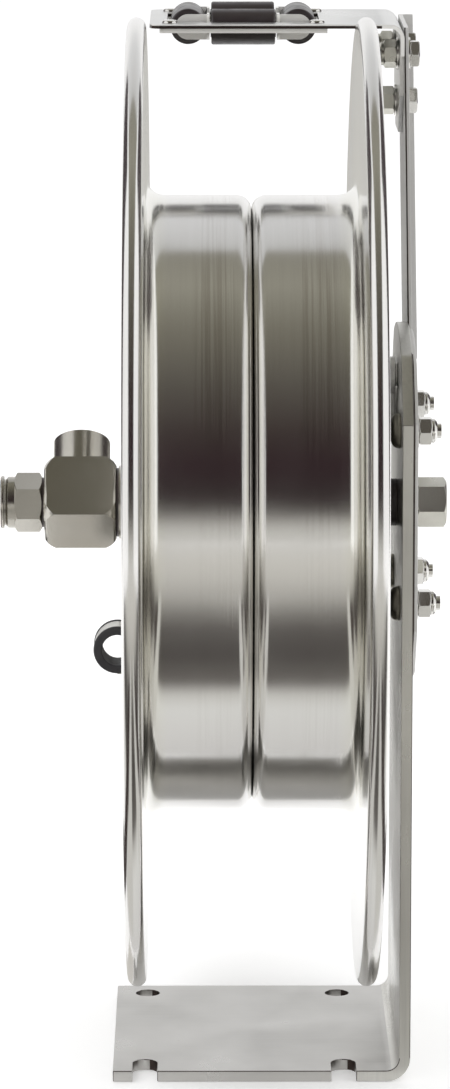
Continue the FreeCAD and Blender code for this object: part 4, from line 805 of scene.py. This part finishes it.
class REEL_OT_swivel(bpy.types.Operator):
    """Work the swivel, its spindle and plug, and the outlet elbow"""
    bl_idname = "reel.swivel"
    bl_label = "Swivel and outlet"

    def execute(self, context):
        steel = "Swivel steel"
        size = context.scene.reel_sizes
        fit(swivel_body(size), material_of(steel), "swivel", "bright_steel", "swivel_block")
        made = finish_copies([
            ("swivel_spindle", 0.3, steel, "drum", "bright_steel"),
            ("swivel_plug", 0.3, steel, "drum", "bright_steel"),
            ("outlet_elbow", 0.4, steel, "drum", "bright_steel"),
            ("drum_hub", 0.3, steel, "drum", "bright_steel"),
        ])
        turn_hexagon(made["swivel_spindle"], HEXAGON_TURN, Vector((0, 0, size.axle_height)))
        return {"FINISHED"}


class REEL_OT_drive(bpy.types.Operator):
    """Work the spring case, its cover, the ratchet wheel and the clamp's bracket"""
    bl_idname = "reel.drive"
    bl_label = "Spring case and ratchet"

    def execute(self, context):
        finish_copies([
            ("spring_case", 0.25, "Dull sheet", "drum", "case_steel"),
            ("case_cover", 0.25, "Dull sheet", "drum", "case_steel"),
            ("ratchet_wheel", 0.2, "Dull sheet", "drum", "case_steel"),
            ("clamp_bracket", 0.3, "Satin sheet", "drum", "stand_steel"),
            ("spacer_bush", 0.25, "Bush nylon", "stand", "bush_plastic"),
        ])
        return {"FINISHED"}


class REEL_OT_inner(bpy.types.Operator):
    """Give the inner pieces that keep their CAD shape their own finishes"""
    bl_idname = "reel.inner"
    bl_label = "Inner pieces"

    def execute(self, context):
        finishes = {
            "axle_clip": "Bright steel", "spring_arbor": "Dull sheet", "arbor_pin": "Bright steel",
            "tie_nuts": "Bright steel", "bearing_inner": "Bearing bronze", "bearing_outer": "Bearing bronze",
            "power_spring": "Dull sheet", "swivel_washers": "Bush nylon", "swivel_seals": "Clamp rubber",
        }
        for node, finish in finishes.items():
            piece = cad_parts[node]
            piece.data.materials.clear()
            piece.data.materials.append(material_of(finish))
        return {"FINISHED"}


# Stage


HOOD_MIDDLE = 0.24  # height of the hood's middle line
HOOD_TONES = (
    (0.0, (0.60, 0.59, 0.56)), (0.016, (0.40, 0.39, 0.36)), (0.036, (0.10, 0.09, 0.085)),
    (0.06, (0.036, 0.027, 0.027)), (0.13, (0.034, 0.020, 0.023)), (0.19, (0.048, 0.036, 0.034)),
    (0.3, (0.108, 0.099, 0.084)), (0.42, (0.195, 0.185, 0.150)), (0.53, (0.31, 0.30, 0.25)),
    (0.632, (0.26, 0.25, 0.21)), (0.646, (0.60, 0.60, 0.60)), (0.8, (0.76, 0.765, 0.775)),
    (0.88, (0.95, 0.95, 0.95)), (1.0, (1.0, 1.0, 1.0)),
)
APRON_TONES = (
    (0.04, (0.66, 0.65, 0.64)), (0.085, (0.74, 0.74, 0.72)), (0.1, (0.62, 0.61, 0.58)),
    (0.114, (0.14, 0.13, 0.12)), (0.15, (0.080, 0.073, 0.068)), (0.2, (0.105, 0.097, 0.09)),
    (0.24, (0.21, 0.20, 0.185)), (0.3, (0.43, 0.42, 0.39)), (0.4, (0.58, 0.565, 0.53)),
    (0.6, (0.65, 0.635, 0.595)), (1.0, (0.68, 0.67, 0.64)),
)
FLOOR_DROP = 0.0003  # the floor lies this far under the foot, so that the two faces don't share one place
WHITEN = 0.32  # light that the floor adds for the camera and for mirrors, so that it fades into the white
CAMERA_PLACE = (-0.020, -2.265, 0.640)
CAMERA_TURN = (79.55, 0, -0.217)  # degrees


def plane(name, middle, turn, size, material):
    only(None)
    bpy.ops.mesh.primitive_plane_add(size=1, location=middle, rotation=[math.radians(a) for a in turn])
    card = named(bpy.context.object, name)
    card.scale = (size[0], size[1], 1)
    apply_place(card)
    card.data.materials.append(material)
    return card


def shaded_glow(name, along, stops):
    """A card's glow: the along function makes one number from the place, the stops turn it to light."""
    material = bpy.data.materials.new(name)
    material.use_nodes = True
    tree = material.node_tree
    tree.nodes.remove(tree.nodes["Principled BSDF"])
    spot = tree.nodes.new("ShaderNodeTexCoord").outputs["Object"]
    apart = put(tree, "ShaderNodeSeparateXYZ", {0: spot})
    ramp = put(tree, "ShaderNodeValToRGB", {0: along(tree, apart)})
    elements = ramp.color_ramp.elements
    while len(elements) < len(stops):
        elements.new(0.5)
    for element, (place, level) in zip(elements, stops):
        element.position = place
        element.color = (*level, 1)
    light = put(tree, "ShaderNodeEmission", {"Color": ramp.outputs[0], "Strength": 1.0})
    tree.links.new(light.outputs[0], tree.nodes["Material Output"].inputs["Surface"])
    return material


def turn_over_reel(tree, apart):
    """0 at the front horizon, 0.5 straight above the axle, 1 at the back."""
    up = math_node(tree, "SUBTRACT", apart.outputs["Z"], HOOD_MIDDLE)
    ahead = times(tree, apart.outputs["Y"], -1.0)
    turn = math_node(tree, "ARCTAN2", up, ahead)
    return math_node(tree, "DIVIDE", turn, math.pi)


def way_ahead(tree, apart):
    """0 under the axle, 1 two metres in front of it."""
    return math_node(tree, "DIVIDE", apart.outputs["Y"], -2.0)


def reflected_only(card):
    card.visible_camera = False
    card.visible_diffuse = False
    card.visible_transmission = False
    card.visible_shadow = False


def studio_hood(radius, width):
    """A half round of cloth over the reel, dark in front and paler above, seen only in its metal."""
    only(None)
    bpy.ops.mesh.primitive_cylinder_add(
        vertices=128, radius=radius, depth=width, end_fill_type="NOTHING", location=(0, 0, HOOD_MIDDLE),
        rotation=(0, math.pi / 2, 0),
    )
    hood = named(bpy.context.object, "studio_hood")
    apply_place(hood)
    edit(hood)
    bpy.ops.mesh.bisect(plane_co=(0, 0, 0.002), plane_no=(0, 0, 1), clear_inner=True)
    bpy.ops.object.mode_set(mode="OBJECT")
    hood.data.materials.append(shaded_glow("Hood cloth", turn_over_reel, HOOD_TONES))
    reflected_only(hood)


def flag(name, middle, turn, size, level):
    """A plain card that only the metal sees."""
    cloth = shaded_glow(name + "_cloth", way_ahead, ((0.0, level), (1.0, level)))
    reflected_only(plane(name, middle, turn, size, cloth))


def seen_directly(tree):
    """1 for camera, mirror and glass rays, else 0."""
    path = tree.nodes.new("ShaderNodeLightPath")
    share = math_node(tree, "ADD", path.outputs["Is Camera Ray"], path.outputs["Is Glossy Ray"])
    return math_node(tree, "ADD", share, path.outputs["Is Transmission Ray"], clamp=True)


def lamp(name, place, target, size, power):
    only(None)
    bpy.ops.object.light_add(type="AREA", location=place)
    light = bpy.context.object
    light.name = name
    light.data.shape = "RECTANGLE"
    light.data.size, light.data.size_y = size
    light.data.energy = power
    light.visible_glossy = False
    light.rotation_euler = (Vector(target) - Vector(place)).to_track_quat("-Z", "Y").to_euler()


class REEL_OT_stage(bpy.types.Operator):
    """Lay the pale floor, the soft lamps, the studio cards, the white world and the camera"""
    bl_idname = "reel.stage"
    bl_label = "Stage"

    def execute(self, context):
        scene = context.scene
        scene.view_settings.view_transform = "Standard"
        world = bpy.data.worlds.new("White studio")
        scene.world = world
        world.use_nodes = True
        tree = world.node_tree
        back = tree.nodes["Background"]
        lit = colour_mix(tree, seen_directly(tree), (0.78, 0.78, 0.78, 1), (1, 1, 1, 1))
        tree.links.new(lit, back.inputs["Color"])

        floor_paint, tree, shader, spot = new_material("Pale floor")
        pale = tinted(tree, scene.reel_colours.floor, noise_node(tree, spot, 4.0, 2.0), 0.01)
        tree.links.new(pale, shader.inputs["Base Color"])
        shader.inputs["Roughness"].default_value = 0.9
        shader.inputs["Specular IOR Level"].default_value = 0.1
        whiten = times(tree, seen_directly(tree), WHITEN)
        white = put(tree, "ShaderNodeEmission", {"Color": (1, 1, 1, 1), "Strength": whiten})
        both = put(tree, "ShaderNodeAddShader", {0: shader.outputs[0], 1: white.outputs[0]})
        clear = tree.nodes.new("ShaderNodeBsdfTransparent").outputs[0]
        under = tree.nodes.new("ShaderNodeNewGeometry").outputs["Backfacing"]
        # Seen from below the floor is clear, so that a view from under shows the foot.
        one_way = put(tree, "ShaderNodeMixShader", {0: under, 1: both.outputs[0], 2: clear})
        tree.links.new(one_way.outputs[0], tree.nodes["Material Output"].inputs["Surface"])
        plane("floor", (0, 3, -FLOOR_DROP), (0, 0, 0), (24, 24), floor_paint)

        studio_hood(3.0, 3.3)
        apron = shaded_glow("Apron cloth", way_ahead, APRON_TONES)
        reflected_only(plane("studio_apron", (0, -1.35, 0.0015), (0, 0, 0), (2.4, 2.54), apron))

        for side in (-1, 1):
            flag("side_flag", (side * 1.6, 1.55, 1.1), (0, 90, 0), (2.19, 2.1), (0.075, 0.062, 0.066))
            flag("rim_card", (side * 0.105, -0.36, 0.0019), (0, 0, 0), (0.09, 0.52), (0.62, 0.61, 0.58))
            flag("floor_flag", (side * 0.215, -0.12, 0.0016), (0, 0, 0), (0.09, 0.8), (0.05, 0.038, 0.036))
        flag("swivel_card", (-0.080, 0.05, 0.0017), (0, 0, 0), (0.036, 0.24), (0.62, 0.60, 0.565))

        lamp("key", (-1.6, -1.6, 2.6), (0, 0, 0.2), (1.6, 1.6), 16)
        lamp("fill", (2.0, -1.2, 2.0), (0, 0, 0.2), (1.6, 1.6), 9)
        lamp("rear", (0.2, 2.2, 2.4), (0, 0, 0.2), (2.0, 1.4), 10)

        bpy.ops.object.camera_add(location=CAMERA_PLACE, rotation=[math.radians(a) for a in CAMERA_TURN])
        camera = context.object
        camera.name = "camera"
        camera.data.lens = 174.7
        camera.data.sensor_width = 36
        scene.camera = camera
        return {"FINISHED"}


class REEL_PT_panel(bpy.types.Panel):
    """Lists the steps that build the reel's looks, in their order"""
    bl_label = "Hose reel"
    bl_idname = "REEL_PT_panel"
    bl_space_type = "VIEW_3D"
    bl_region_type = "UI"
    bl_category = "Hose reel"

    def draw(self, context):
        column = self.layout.column()
        for step in STEPS:
            column.operator(step.bl_idname)
        for group in (context.scene.reel_sizes, context.scene.reel_colours):
            for key in group.bl_rna.properties.keys():
                if key not in ("name", "rna_type"):
                    column.prop(group, key)


STEPS = (
    REEL_OT_stage,
    REEL_OT_materials,
    REEL_OT_drum,
    REEL_OT_rollers,
    REEL_OT_hose_clamp,
    REEL_OT_stand,
    REEL_OT_fasteners,
    REEL_OT_swivel,
    REEL_OT_drive,
    REEL_OT_inner,
)
CLASSES = (ReelSizes, ReelColours, *STEPS, REEL_PT_panel)


def register():
    for kind in CLASSES:
        bpy.utils.register_class(kind)
    bpy.types.Scene.reel_sizes = PointerProperty(type=ReelSizes)
    bpy.types.Scene.reel_colours = PointerProperty(type=ReelColours)


def unregister():
    del bpy.types.Scene.reel_sizes
    del bpy.types.Scene.reel_colours
    for kind in reversed(CLASSES):
        bpy.utils.unregister_class(kind)


def main():
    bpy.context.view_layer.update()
    register()
    bpy.ops.reel.stage()
    bpy.ops.reel.materials()
    bpy.ops.reel.drum()
    bpy.ops.reel.rollers()
    bpy.ops.reel.hose_clamp()
    bpy.ops.reel.stand()
    bpy.ops.reel.fasteners()
    bpy.ops.reel.swivel()
    bpy.ops.reel.drive()
    bpy.ops.reel.inner()


if __name__ == "__main__":
    main()
